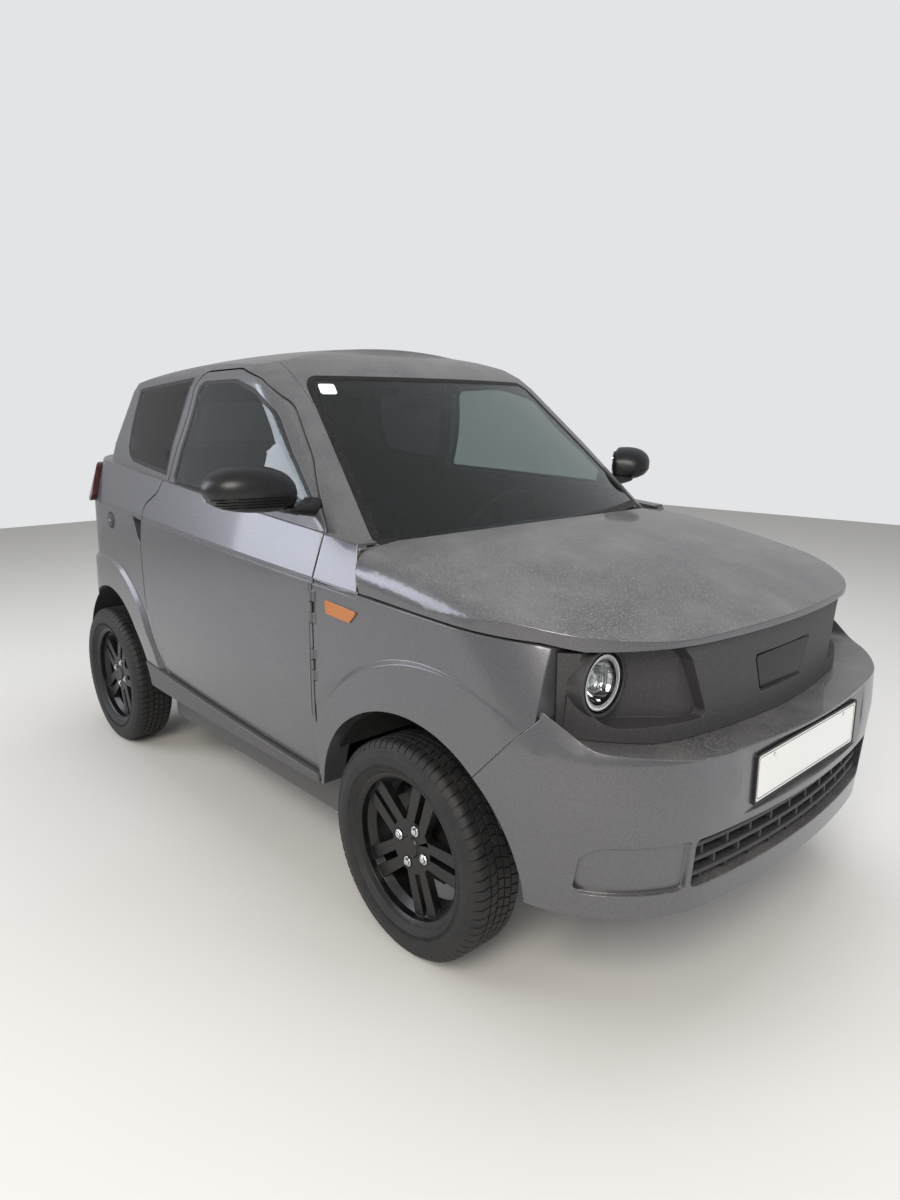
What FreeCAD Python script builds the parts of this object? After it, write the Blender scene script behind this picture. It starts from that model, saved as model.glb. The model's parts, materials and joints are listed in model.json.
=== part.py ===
import FreeCAD
import Part
import Sketcher
import math
import os
from FreeCAD import Placement, Rotation, Vector

# Small two-door, two-seat car of the light quadricycle class.
# Frame: +X forward, +Y to the driver's left, +Z up, origin on the floor under the
# middle of the car. Right hand pieces lie at negative Y.

doc = FreeCAD.newDocument("microcar")
sheet = doc.addObject("Spreadsheet::Sheet", "Sizes")

# Driving sizes in millimetres and degrees: name, value
sizes = [
    # overall
    ("car_length", 2985), ("body_width", 1484), ("roof_height", 1578),
    ("front_axle", 805), ("wheelbase", 1930), ("wheel_offset", 667.5),
    # tyre and rim
    ("tyre_radius", 283), ("tyre_width", 155), ("tread_width", 118), ("bead_radius", 192),
    ("flange_radius", 204), ("rim_width", 124), ("rim_wall", 7), ("well_depth", 20),
    ("hub_set", 26), ("hub_radius", 72), ("spoke_thick", 22), ("spoke_width", 27), ("spoke_flare", 8),
    ("spoke_gap", 18), ("spoke_count", 5), ("running_gap", 0.3),
    # wall thicknesses
    ("side_wall", 64), ("bumper_wall", 112), ("pillar_wall", 40), ("glass_thick", 6),
    ("glass_inset", 2), ("bonnet_wall", 22), ("panel_wall", 110), ("floor_thick", 30),
    # gaps between panels
    ("panel_gap", 5), ("seam_gap", 0.4),
    # plan curves of the body
    ("side_bow", 20000), ("front_bow", 2400), ("front_corner", 360),
    ("rear_bow", 3000), ("rear_corner", 260), ("bow_middle", -100),
    ("nose_bow", 2000), ("nose_corner", 450), ("screen_bow", 1500), ("screen_corner", 120),
    # levels of the lower body: height, tuck of each side, set back at nose and tail
    ("lip_height", 285), ("lip_tuck", 24), ("lip_front", 22), ("lip_rear", 30),
    ("crease_height", 550), ("crease_front", 3), ("crease_rear", 0),
    ("shelf_height", 645), ("shelf_tuck", 1), ("shelf_front", 6), ("shelf_rear", 6),
    ("groove_height", 942), ("groove_tuck", 6), ("groove_front", 86), ("groove_rear", 26),
    ("belt_height", 1074), ("belt_tuck", 50), ("belt_front", 200), ("belt_rear", 62),
    ("groove_fall", 0.060), ("belt_fall", 0.085),
    # levels of the upper body: height, half width, front end, rear end
    ("base_height", 1000), ("base_half", 690), ("base_front", 690), ("base_rear", 1405),
    ("mid_height", 1240), ("mid_half", 651), ("mid_front", 405), ("mid_rear", 1290),
    ("rail_height", 1440), ("rail_half", 600), ("rail_front", 163), ("rail_rear", 1160),
    ("edge_height", 1532), ("edge_half", 572), ("edge_front", 53), ("edge_rear", 1112),
    ("dome_height", 1552), ("dome_half", 440), ("dome_front", -90), ("dome_rear", 930),
    ("dome_rise", 70), ("roof_steps", 4), ("crown_place", 400), ("crown_length", 5200), ("crown_width", 2300),
    # doors, the hollow in their skin, the line along the side and the hinges
    ("door_front", 435), ("door_bottom", 367), ("door_tail_bottom", 425), ("hinge_radius", 4.5),
    ("gate_hinge", 1534), ("gate_turn", 9.5), ("scoop_depth", 12), ("scoop_slope", 40),
    ("line_width", 14), ("line_depth", 5), ("grip_depth", 26),
    # sills
    ("sill_step", 18), ("sill_bottom", 337),
    # wheel arches
    ("arch_radius", 355), ("flare_radius", 488), ("flare_slope", 46), ("flare_height", 12), ("flare_end", 1180), ("flare_lean", 1.5),
    ("flare_shift", 42), ("flare_rise", 16), ("rear_flare_radius", 505),
    ("valley_radius", 542), ("valley_depth", 9), ("valley_width", 66),
    ("rear_arch_radius", 372), ("rear_arch_shift", 38), ("rear_arch_rise", 14),
    ("liner_wall", 4), ("liner_inner", 440),
    # front end
    ("panel_front", 1390), ("panel_half", 716), ("panel_corner", 400), ("nose_edge", 856),
    ("lamp_height", 784), ("lamp_side", 528), ("lamp_face", 1245), ("lamp_depth", 50), ("lamp_tube", 9),
    ("lamp_radius", 67), ("plate_width", 520), ("plate_height", 112), ("plate_level", 552),
    ("plate_thick", 5), ("grille_top", 462), ("grille_bottom", 345), ("grille_half", 440),
    # steering and axles
    ("kingpin_side", 590), ("kingpin_radius", 17), ("kingpin_low", 172), ("kingpin_high", 398),
    ("stub_radius", 16), ("shield_radius", 105), ("axle_radius", 32), ("steer_height", 905), ("steer_side", 330),
    ("steer_place", 95), ("steer_radius", 175), ("steer_rake", 26), ("steer_rim", 14),
    # inside
    ("floor_top", 245), ("tail_lamp_low", 1008), ("tail_lamp_high", 1160), ("tail_lamp_in", 575), ("tail_lamp_rise", 22),
    ("boot_top", 500), ("seat_width", 450), ("seat_side", 320),
]
for row, (alias, value) in enumerate(sizes, start=1):
    sheet.set("A%d" % row, alias)
    sheet.set("B%d" % row, str(value))
    sheet.setAlias("B%d" % row, alias)
doc.recompute()


def size(alias):
    """A driving size read from the sheet."""
    return float(sheet.get(alias))


def size_count(alias):
    """A number of pieces or steps read from the sheet."""
    return int(round(size(alias)))


half_length = size("car_length") / 2
half_width = size("body_width") / 2
nodes = []


def keep(node, shape_object):
    """Give a finished sub-part its plain name."""
    shape_object.Label = node
    nodes.append(shape_object)
    return shape_object


def feature(node, shape):
    """A sub-part whose shape is worked out below."""
    item = doc.addObject("Part::Feature", node)
    item.Shape = shape.removeSplitter()
    return keep(node, item)


# Outlines, lofts and prisms

def tangent_centre(big_centre, big_radius, side_centre, side_radius, corner, ahead):
    """Centre of a corner arc that touches two larger arcs from inside."""
    first = big_radius - corner
    second = side_radius - corner
    apart = side_centre - big_centre
    along = (first ** 2 - second ** 2 + apart.Length ** 2) / (2 * apart.Length)
    across = math.sqrt(max(first ** 2 - along ** 2, 0))
    unit = Vector(apart).normalize()
    foot = big_centre + unit * along
    normal = Vector(-unit.y, unit.x, 0) * across
    choices = [foot + normal, foot - normal]
    return max(choices, key=lambda point: ahead * point.x)


def arc_through(start, end, centre):
    """Arc between two points round a centre, by way of the middle of its shorter side."""
    middle = (start + end) * 0.5 - centre
    middle = centre + middle.normalize() * (start - centre).Length
    return middle


def plan_wire(front, half, rear, height, fall=0.0, bow=None, corner=None, tail_bow=None, tail_corner=None):
    """Closed outline of the body seen from above: eight arcs, tangent to each other."""
    bow = bow or size("front_bow")
    corner = corner or size("front_corner")
    tail_bow = tail_bow or size("rear_bow")
    tail_corner = tail_corner or size("rear_corner")
    side_bow = size("side_bow")
    nose = Vector(front - bow, 0, 0)
    tail = Vector(-rear + tail_bow, 0, 0)
    side = Vector(size("bow_middle"), half - side_bow, 0)
    front_corner = tangent_centre(nose, bow, side, side_bow, corner, 1)
    rear_corner = tangent_centre(tail, tail_bow, side, side_bow, tail_corner, -1)

    def touch(big, big_radius, small):
        return big + (small - big).normalize() * big_radius

    front_touch = touch(nose, bow, front_corner)
    side_front = touch(side, side_bow, front_corner)
    side_rear = touch(side, side_bow, rear_corner)
    rear_touch = touch(tail, tail_bow, rear_corner)
    corners = [
        (front_touch, arc_through(front_touch, side_front, front_corner), side_front),
        (side_front, arc_through(side_front, side_rear, side), side_rear),
        (side_rear, arc_through(side_rear, rear_touch, rear_corner), rear_touch),
    ]

    def flip(point):
        return Vector(point.x, -point.y, 0)

    def lift(point):
        return Vector(point.x, point.y, height - fall * point.x)

    arcs = [(flip(front_touch), Vector(front, 0, 0), front_touch)]
    arcs += corners
    arcs.append((rear_touch, Vector(-rear, 0, 0), flip(rear_touch)))
    arcs += [(flip(end), flip(middle), flip(start)) for start, middle, end in reversed(corners)]
    edges = [Part.Arc(lift(a), lift(b), lift(c)).toShape() for a, b, c in arcs]
    return Part.Wire(edges)


def lower_solid(inset):
    """The lower body as one block, with its skin moved inwards by inset."""
    # level, name of its tuck or none, height falls towards the nose, its corner sizes
    table = [
        ("lip", True, 0.0, False), ("crease", False, 0.0, False), ("shelf", True, 0.0, False),
        ("groove", True, size("groove_fall"), True), ("belt", True, size("belt_fall"), True),
    ]
    wires = []
    for level, tucked, fall, nose in table:
        tuck = size(level + "_tuck") if tucked else 0.0
        bow = size("nose_bow") if nose else size("front_bow")
        corner = size("nose_corner") if nose else size("front_corner")
        height = size(level + "_height")
        if level == "lip":
            height -= max(inset, 0) * 0.1
        if level == "belt":
            height += max(inset, 0) * 0.1
        wires.append(plan_wire(
            half_length - size(level + "_front") - inset, half_width - tuck - inset,
            half_length - size(level + "_rear") - inset, height, fall,
            bow - inset, corner - inset, size("rear_bow") - inset, size("rear_corner") - inset))
    return Part.makeLoft(wires, True, True)


def upper_solid(inset):
    """The cabin above the belt as one block, with its skin moved inwards by inset."""
    def level_sizes(level):
        return [size(level + ending) for ending in ("_height", "_half", "_front", "_rear")]

    base, mid, rail, edge, dome = [level_sizes(level) for level in ("base", "mid", "rail", "edge", "dome")]
    # height, half width, front end, rear end, share of the inset that lowers the level
    sections = [base + [0.0], mid + [0.0], rail + [0.1]]
    for step in range(1, size_count("roof_steps") + 1):
        part = step / size_count("roof_steps")
        ways = ((1 - part) ** 2, 2 * part * (1 - part), part ** 2)
        bent = [a * ways[0] + b * ways[1] + c * ways[2] for a, b, c in zip(rail, edge, dome)]
        sections.append(bent + [0.1 + 0.75 * part])
    rise = size("dome_rise")
    sections.append([dome[0] + rise, dome[1] - rise, dome[2] - rise, dome[3] - rise, 0.85])
    wires = []
    for height, half, front, rear, share in sections:
        narrow = inset * (1 - share)
        corner = size("screen_corner") - narrow
        wires.append(plan_wire(front - narrow, half - narrow, rear - narrow, height - inset * share, 0.0,
                               size("screen_bow"), corner, size("rear_bow"), corner))
    top = size("roof_height") - inset
    middle = -size("crown_place")
    along = size("crown_length")
    across = size("crown_width")
    reach = size("car_length")
    drop = along - math.sqrt(along ** 2 - (reach / 2) ** 2)
    ridge = Part.Arc(Vector(middle - reach / 2, 0, top - drop), Vector(middle, 0, top),
                     Vector(middle + reach / 2, 0, top - drop)).toShape()
    axis_z = top - across
    sides = [Part.LineSegment(Vector(middle + reach / 2, 0, top - drop),
                              Vector(middle + reach / 2, 0, axis_z)).toShape(),
             Part.LineSegment(Vector(middle + reach / 2, 0, axis_z),
                              Vector(middle - reach / 2, 0, axis_z)).toShape(),
             Part.LineSegment(Vector(middle - reach / 2, 0, axis_z),
                              Vector(middle - reach / 2, 0, top - drop)).toShape()]
    crown = Part.Face(Part.Wire([ridge] + sides)).revolve(Vector(0, 0, axis_z), Vector(1, 0, 0), 360)
    return Part.makeLoft(wires, True, True).common(crown)


def rounded_wire(points, radius):
    """Closed outline through points in the XY plane with its corners rounded."""
    edges = []
    count = len(points)
    ends = []
    for index in range(count):
        here = Vector(points[index][0], points[index][1], 0)
        before = Vector(points[index - 1][0], points[index - 1][1], 0)
        after = Vector(points[(index + 1) % count][0], points[(index + 1) % count][1], 0)
        corner = points[index][2] if len(points[index]) > 2 else radius
        to_before = (before - here).normalize()
        to_after = (after - here).normalize()
        half = to_before.getAngle(to_after) / 2
        if corner <= 0 or half > math.radians(89.5):
            ends.append((here, None, here))
            continue
        reach = corner / math.tan(half)
        reach = min(reach, 0.48 * (before - here).Length, 0.48 * (after - here).Length)
        corner = reach * math.tan(half)
        bisector = (to_before + to_after).normalize()
        middle = here + bisector * (corner / math.sin(half) - corner)
        ends.append((here + to_before * reach, middle, here + to_after * reach))
    for index in range(count):
        start, middle, end = ends[index]
        if middle is not None:
            edges.append(Part.Arc(start, middle, end).toShape())
        following = ends[(index + 1) % count][0]
        if (following - end).Length > 1e-6:
            edges.append(Part.LineSegment(end, following).toShape())
    return Part.Wire(edges)


def prism(axis, points, low, high, radius=0.0, grow=0.0):
    """Outline swept along an axis: (x, z) for y, (y, z) for x, (x, y) for z."""
    wire = rounded_wire(points, radius)
    if grow:
        wire = wire.makeOffset2D(grow)
    face = Part.Face(wire)
    turns = {
        "z": Placement(Vector(0, 0, 0), Rotation()),
        "y": Placement(Vector(0, 0, 0), Rotation(Vector(1, 0, 0), 90)),
        "x": Placement(Vector(0, 0, 0), Rotation(Vector(1, 1, 1), 120)),
    }
    face.Placement = turns[axis]
    ways = {"x": Vector(1, 0, 0), "y": Vector(0, 1, 0), "z": Vector(0, 0, 1)}
    face.translate(ways[axis] * low)
    return face.extrude(ways[axis] * (high - low))


def block(x_low, x_high, y_low, y_high, z_low, z_high):
    """A plain box between two corners."""
    return Part.makeBox(x_high - x_low, y_high - y_low, z_high - z_low, Vector(x_low, y_low, z_low))


def mirrored(shape):
    """The same piece on the other side of the car."""
    return shape.mirror(Vector(0, 0, 0), Vector(0, 1, 0))


def wheel_cylinder(x, z, radius, y_low, y_high):
    """A cylinder along a wheel axis."""
    return Part.makeCylinder(radius, y_high - y_low, Vector(x, y_low, z), Vector(0, 1, 0))


gap = size("panel_gap")
seam = size("seam_gap")
far = 900.0

# Lines in side view, as (x, z)


def groove_at(x):
    """Height of the line along the side, which falls towards the nose."""
    return size("groove_height") - size("groove_fall") * x


def sill_at(x):
    """Height of the lower edge of the door, which rises towards the tail."""
    slope = (size("door_tail_bottom") - size("door_bottom")) / (size("door_front") + 560)
    return size("door_bottom") + (size("door_front") - x) * slope


door_x = size("door_front")
door_line = [
    (door_x, sill_at(door_x), 12), (door_x, 1040, 40), (285, 1222, 500), (125, 1372, 220),
    (-20, 1452, 160), (-160, 1487, 160), (-440, 1487, 70), (-470, 1330, 900),
    (-590, 1078, 60), (-680, 1030, 60), (-716, 880, 300), (-706, 660, 260),
    (-622, 490, 200), (-560, sill_at(-560), 30),
]
door_glass_line = [
    (398, 1078, 15), (262, 1208, 500), (108, 1352, 220), (-30, 1424, 150), (-165, 1457, 150),
    (-418, 1457, 50), (-444, 1330, 900), (-535, 1116, 20),
]
quarter_glass_line = [
    (-475, 1474, 10), (-952, 1448, 14), (-992, 1330, 300), (-992, 1206, 30), (-940, 1176, 60), (-592, 1138, 10),
]
screen_line = [(-604, 1006, 20), (604, 1006, 20), (488, 1462, 60), (-488, 1462, 60)]

whole_door = prism("y", door_line, -far, 0)
door_hole = prism("y", door_line, -far, 0, grow=gap)

def less(shape, *tools):
    """A shape with each tool cut from it in turn."""
    for tool in tools:
        shape = shape.cut(tool)
    return shape


# The body skin: lower ring, cabin shell and wheel arch flares

wheel_z = size("tyre_radius")
front_x = size("front_axle")
rear_x = size("front_axle") - size("wheelbase")
rear_arch_x = rear_x + size("rear_arch_shift")
rear_arch_z = wheel_z + size("rear_arch_rise")

lower_outer = lower_solid(0)
lower_inner = lower_solid(size("side_wall"))
ring = lower_outer.cut(lower_inner).cut(block(-1700, 1700, -600, 600, 200, 330))
upper_outer = upper_solid(0)
upper_inner = upper_solid(size("pillar_wall"))
cabin = upper_outer.cut(upper_inner)


def flare_solid(x, z, radius, grown):
    """The raised flare round a wheel opening, which slopes back into the side."""
    rise = size("flare_slope") * 2
    cone = Part.makeCone(radius + rise - size("flare_slope"), radius - size("flare_slope"), rise,
                         Vector(x, half_width + size("flare_height") - rise, z), Vector(0, 1, 0))
    limit = block(-1425, 1600, 560, far, size("lip_height") + 12, 900)
    return grown.common(cone).common(limit).cut(lower_inner)


grown = lower_solid(-size("flare_height"))
fading = lower_outer.rotated(Vector(size("flare_end"), half_width - 41, 0), Vector(0, 0, 1), -size("flare_lean"))
front_flare = flare_solid(front_x + size("flare_shift"), wheel_z + size("flare_rise"), size("flare_radius"),
                          grown.common(fading))
rear_flare = flare_solid(rear_arch_x, rear_arch_z, size("rear_flare_radius"), grown)
front_flare = front_flare.cut(block(-400, size("door_front") + gap, 0, far, 0, 1200))
rear_flare = rear_flare.cut(mirrored(door_hole))
flares = [front_flare, rear_flare]
right_flares = [mirrored(flare) for flare in flares]
ring = ring.fuse(flares + right_flares)
arches = []
for x, z, radius in ((front_x, wheel_z, size("arch_radius")),
                     (rear_arch_x, rear_arch_z, size("rear_arch_radius"))):
    arches.append(wheel_cylinder(x, z, radius, -far, -300))
    arches.append(wheel_cylinder(x, z, radius, 300, far))
    arches.append(block(x - radius, x + radius, -far, -300, 0, z))
    arches.append(block(x - radius, x + radius, 300, far, 0, z))
ring = less(ring, *arches)

# Panels cut from the skin

glass_hole = prism("y", door_glass_line, -far, 0)
quarter_hole = prism("y", quarter_glass_line, -far, 0)
screen_hole = prism("x", screen_line, 60, 1000)

roof_half = 512
scuttle_half = 598
tail_line = -1010
roof_block = block(tail_line, 400, -roof_half, roof_half, 1380, 1700)
tail_gate_line = [(tail_line - gap, 1700), (tail_line - gap, 1440), (-1240, 1090), (-1290, 900),
                  (-1300, 600), (-1700, 600), (-1700, 1700)]
gate_half = 560
gate_region = prism("y", tail_gate_line, -gate_half, gate_half)
gate_hole = prism("y", tail_gate_line, -gate_half - gap, gate_half + gap, grow=gap)
bumper_side_line = [(1000, 200), (985, 498), (1195, 724), (1195, 1200), (1800, 1200), (1800, 200)]
front_region = prism("y", bumper_side_line, -far, far)
front_region_wide = prism("y", bumper_side_line, -far, far, grow=seam)
shelf = size("shelf_height")
shelf_line = [(-far, 748), (-672, 748, 10), (-628, 672, 40), (-450, shelf + 2, 200), (0, shelf - 6, 3000),
              (450, shelf + 2, 200), (628, 672, 40), (672, 748, 10), (far, 748), (far, 100), (-far, 100)]
bumper_below = prism("x", shelf_line, 900, 1800)
rear_bumper_line = [(-1700, 595), (-1290, 595), (-1200, 520), (-1200, 100), (-1700, 100)]
rear_region = prism("y", rear_bumper_line, -far, far)
rear_region_wide = prism("y", rear_bumper_line, -far, far, grow=seam)
nose_edge = size("nose_edge")
fender_line = [(door_x + gap, 100), (door_x + gap, groove_at(door_x)), (628, groove_at(628)),
               (1166, groove_at(1166)), (1240, nose_edge), (1700, nose_edge), (1700, 100)]
fender_region = prism("y", fender_line, -far, 0)
fender_wide = prism("y", fender_line, -far, 0, grow=seam)
sill_line = [(-800, sill_at(-800) - gap), (door_x + 200, sill_at(door_x + 200) - gap),
             (door_x + 200, 100), (-800, 100)]
sill_region = prism("y", sill_line, -far, far)
sill_wide = prism("y", sill_line, -far, far, grow=seam)
nose_line = [(584, 1400), (584, 1018), (628, groove_at(628)), (1166, groove_at(1166)),
             (1240, nose_edge), (1700, nose_edge), (1700, 1400)]
nose_cut = prism("y", nose_line, -far, far, grow=seam)

right_half = block(-1700, 1700, -far, 0, 0, 1700)
lower_side = ring.common(right_half)
upper_side = cabin.common(right_half)
lower_frame = less(lower_side, door_hole, nose_cut, gate_hole, rear_region_wide, fender_wide, sill_wide)
upper_frame = less(upper_side, door_hole, quarter_hole, screen_hole, nose_cut, gate_hole,
                   block(tail_line - 20, 400, -roof_half - seam, 0, 1380, 1700))
body_side = less(lower_frame.fuse(upper_frame), block(-1700, 1700, -450, 10, 0, 1700),
                 block(300, 800, -scuttle_half - seam, 10, 900, 1006 + seam))

# Forms in the side: the sunk line along it, the hollow in the door, the grip
# recess behind the door and the valley round the front flare

half_line = size("line_width") / 2
line_ends = (-1165, 628)
side_groove = prism("y", [(x, groove_at(x) + way * half_line)
                          for x, way in zip(line_ends + line_ends[::-1], (-1, -1, 1, 1))], -far, 0)
side_groove = side_groove.cut(lower_solid(size("line_depth")))


def leaned(angle, axis, place):
    """The lower body leaned about a line, to cut a slope in its skin."""
    return lower_outer.rotated(place, axis, angle)


skin_y = -half_width + 6
crest = [(-690, 572), (door_x - 12, 533)]
crest_way = Vector(crest[1][0] - crest[0][0], 0, crest[1][1] - crest[0][1])
scoop_top = [(-690, 715), (door_x - 12, 915)]
scoop_way = Vector(scoop_top[1][0] - scoop_top[0][0], 0, scoop_top[1][1] - scoop_top[0][1])
scoop_tall = scoop_top[1][1] - crest[1][1]
lean = math.degrees(math.atan(size("scoop_depth") / scoop_tall))
steep = math.degrees(math.atan(size("scoop_depth") / size("scoop_slope")))
scoop = block(-760, door_x - 12, -far, -600, 500, 1000)
scoop = less(scoop, leaned(lean, scoop_way, Vector(scoop_top[1][0], skin_y, scoop_top[1][1])),
             leaned(-steep, crest_way, Vector(crest[1][0], skin_y - 1, crest[1][1])),
             leaned(steep, Vector(0, 0, 1), Vector(door_x - 14, skin_y, 700)))
grip_line = [(-778, groove_at(-778) - 8), (-690, groove_at(-690) - 8), (-690, 866), (-735, 900, 30)]
grip = prism("y", grip_line, -far, 0).cut(lower_solid(size("grip_depth")))
valley_lean = 2.6
valley_way = Vector(-math.sin(math.radians(valley_lean)), math.cos(math.radians(valley_lean)), 0)
valley_place = Vector(820, -half_width + 18, 270)
reach = 5
valley = Part.makeCone(size("valley_radius") + size("valley_width") * reach,
                       size("valley_radius") - size("valley_width"), size("valley_depth") * (reach + 1),
                       valley_place - valley_way * size("valley_depth") * reach, valley_way)
body_side = less(body_side, side_groove, grip)


def biggest(shape):
    """The largest solid of a cut shape, without the slivers that a curved seam can leave."""
    return max(shape.Solids, key=lambda solid: solid.Volume)


def side_pieces(node, right_shape):
    """A panel and its mirror image, one for each side of the car."""
    feature(node + "_right", right_shape)
    feature(node + "_left", mirrored(right_shape))


# Door hinges: short barrels on one upright axis in the gap ahead of the door

hinge_x = door_x + gap / 2
hinge_y = -(half_width - (hinge_x - size("bow_middle")) ** 2 / (2 * size("side_bow")))
barrel = size("hinge_radius")
gap_run = size("running_gap")
barrel_long = 30
hinge_levels = [640, 800]


def upright(radius, low, high):
    return Part.makeCylinder(radius, high - low, Vector(hinge_x, hinge_y, low))


door = lower_side.common(whole_door).fuse(upper_side.common(whole_door))
door = less(door, glass_hole, block(-700, 500, -roof_half - gap, 0, 1300, 1700), side_groove, scoop)
fender = lower_outer.cut(lower_inner).common(right_half).cut(valley).fuse(right_flares[0])
fender = less(fender.common(fender_region), front_region_wide, block(1188, 1700, -far, 0, 0, 1200), *arches)
fender = less(fender, side_groove, block(0, 560, -far, 0, 0, size("sill_bottom")))
for level in hinge_levels:
    own = [(level + barrel_long + gap_run, level + 2 * barrel_long)]
    carried = [(level, level + barrel_long), (level + 2 * barrel_long + gap_run, level + 3 * barrel_long)]
    clear = upright(barrel + 1.5, level - gap_run, level + 3 * barrel_long + gap_run)
    door = door.cut(clear)
    fender = fender.cut(clear)
    for low, high in own:
        arm = block(hinge_x - 14, hinge_x, hinge_y + 1, hinge_y + 14, low, high)
        door = door.fuse([upright(barrel, low, high), arm])
    for low, high in carried:
        arm = block(hinge_x, hinge_x + 14, hinge_y + 1, hinge_y + 14, low, high)
        fender = fender.fuse([upright(barrel, low, high), arm])


# Bonnet hinges: barrels across the rear corners of the bonnet

lid_x = 584 + gap / 2
lid_z = 1008
lid_barrels = {False: [], True: []}
for low, high, on_lid in ((655, 678, False), (630, 655 - gap_run, True)):
    pin = Part.makeCylinder(barrel, high - low, Vector(lid_x, -high, lid_z), Vector(0, 1, 0))
    arm_low = lid_x if on_lid else lid_x - 12
    arm = block(arm_low, arm_low + 12, -high, -low, lid_z - 4, lid_z - 1)
    lid_barrels[on_lid] += [pin, arm]
lid_clear = Part.makeCylinder(barrel + 1.5, 26, Vector(lid_x, -655, lid_z), Vector(0, 1, 0))
lid_barrels[True] += [mirrored(shape) for shape in lid_barrels[True]]
lid_sweep = Part.makeCylinder(barrel + 5, 46, Vector(lid_x, -650, lid_z), Vector(0, 1, 0))
body_side = less(body_side, lid_clear, lid_sweep).fuse(lid_barrels[False])
side_pieces("body_side", biggest(body_side))
side_pieces("fender", biggest(fender))
side_pieces("door", biggest(door))

# Glass

glass_outer = upper_solid(size("glass_inset"))
glass_inner = upper_solid(size("glass_inset") + size("glass_thick"))
glass = glass_outer.cut(glass_inner)
side_pieces("door_glass", glass.common(prism("y", door_glass_line, -far, 0, grow=-gap_run)))
quarter = glass.common(prism("y", quarter_glass_line, -far, 0, grow=-gap_run))
feature("quarter_glass", Part.makeCompound([quarter, mirrored(quarter)]))
feature("windscreen", glass.common(prism("x", screen_line, 60, 1000, grow=-gap_run)))

# Roof and tailgate

roof = cabin.common(roof_block).cut(screen_hole)
gate_glass_line = [(-470, 1215, 30), (470, 1215, 30), (430, 1420, 50), (-430, 1420, 50)]
gate_glass_hole = prism("x", gate_glass_line, -1600, -1010)
gate = ring.common(gate_region).fuse(cabin.common(gate_region))
gate = less(gate, gate_glass_hole, rear_region_wide)
gate_hinge_x = tail_line - gap / 2
gate_hinge_z = size("gate_hinge")
gate_room = Part.makeCylinder(size("gate_turn"), 2 * roof_half, Vector(gate_hinge_x, -roof_half, gate_hinge_z),
                              Vector(0, 1, 0))
roof = roof.cut(gate_room)
for place in (-130, 70):
    for offset, on_gate in ((0, False), (barrel_long + gap_run, True)):
        low = place + offset
        pin = Part.makeCylinder(barrel, barrel_long, Vector(gate_hinge_x, low, gate_hinge_z), Vector(0, 1, 0))
        ahead = -14 if on_gate else 0
        arm = block(gate_hinge_x + ahead, gate_hinge_x + ahead + 14, low, low + barrel_long,
                    gate_hinge_z - 7, gate_hinge_z - 2)
        notch = Part.makeCylinder(barrel + 1.5, barrel_long + 2 * gap_run,
                                  Vector(gate_hinge_x, low - gap_run, gate_hinge_z), Vector(0, 1, 0))
        if on_gate:
            roof = roof.cut(notch)
            gate = gate.fuse([pin, arm])
        else:
            gate = gate.cut(notch)
            roof = roof.fuse([pin, arm])
feature("roof", biggest(roof))
feature("tailgate", biggest(gate))
gate_glass = glass.common(prism("x", gate_glass_line, -1600, -1010, grow=-gap_run))
feature("tailgate_glass", gate_glass)

# Front end: bumper, dark lamp panel, bonnet

bumper = lower_outer.cut(lower_solid(size("bumper_wall"))).fuse(flares + right_flares)
bumper = less(bumper.common(front_region).common(bumper_below), *arches)
plate_floor = half_length - 27
bumper = bumper.cut(block(plate_floor, 1600, -size("plate_width") / 2 - 62, size("plate_width") / 2 + 62,
                          size("plate_level") - 70, size("plate_level") + 80))
side_panel = [(-640, 345, 22), (-452, 345, 10), (-452, 462, 10), (-640, 462, 40)]
side_recess = prism("x", side_panel, 1000, 1700).cut(lower_solid(12))
bumper = less(bumper, side_recess, mirrored(side_recess))
grille_line = [(-size("grille_half"), size("grille_bottom"), 14), (size("grille_half"), size("grille_bottom"), 14),
               (size("grille_half"), size("grille_top"), 14), (-size("grille_half"), size("grille_top"), 14)]
bumper = bumper.cut(prism("x", grille_line, 1200, 1700))
feature("front_bumper", biggest(bumper))

bars = [prism("x", [(-438, level), (438, level), (438, level + 14), (-438, level + 14)], 1200, 1700)
        for level in (size("grille_bottom") + 0.4, size("grille_bottom") + 51, size("grille_top") - 14.4)]
for index in range(-7, 8):
    bars.append(block(1200, 1700, index * 58 - 4, index * 58 + 4,
                      size("grille_bottom") + 1, size("grille_top") - 1))
bars.append(block(1200, 1700, -438, -424, size("grille_bottom") + 1, size("grille_top") - 1))
bars.append(block(1200, 1700, 424, 438, size("grille_bottom") + 1, size("grille_top") - 1))
grille_band = lower_solid(20).cut(lower_solid(52))
grille = grille_band.common(bars[0].fuse(bars[1:]))
feature("lower_grille", grille.common(prism("x", grille_line, 1200, 1700, grow=-seam)))

panel_low = shelf - 40
panel_high = nose_edge
panel_half = size("panel_half")


def panel_plan(inset, low, high):
    wire = plan_wire(size("panel_front") - inset, panel_half - inset, 1000, low, 0.0,
                     size("nose_bow") - inset, size("panel_corner") - inset)
    return Part.Face(wire).extrude(Vector(0, 0, high - low))


lamp_panel = panel_plan(0, panel_low, panel_high).cut(panel_plan(size("panel_wall"), panel_low, panel_high))
lamp_panel = lamp_panel.common(block(1190.4, 1700, -far, far, panel_low, panel_high))
lamp_panel = lamp_panel.cut(prism("x", shelf_line, 900, 1800, grow=seam))
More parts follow.
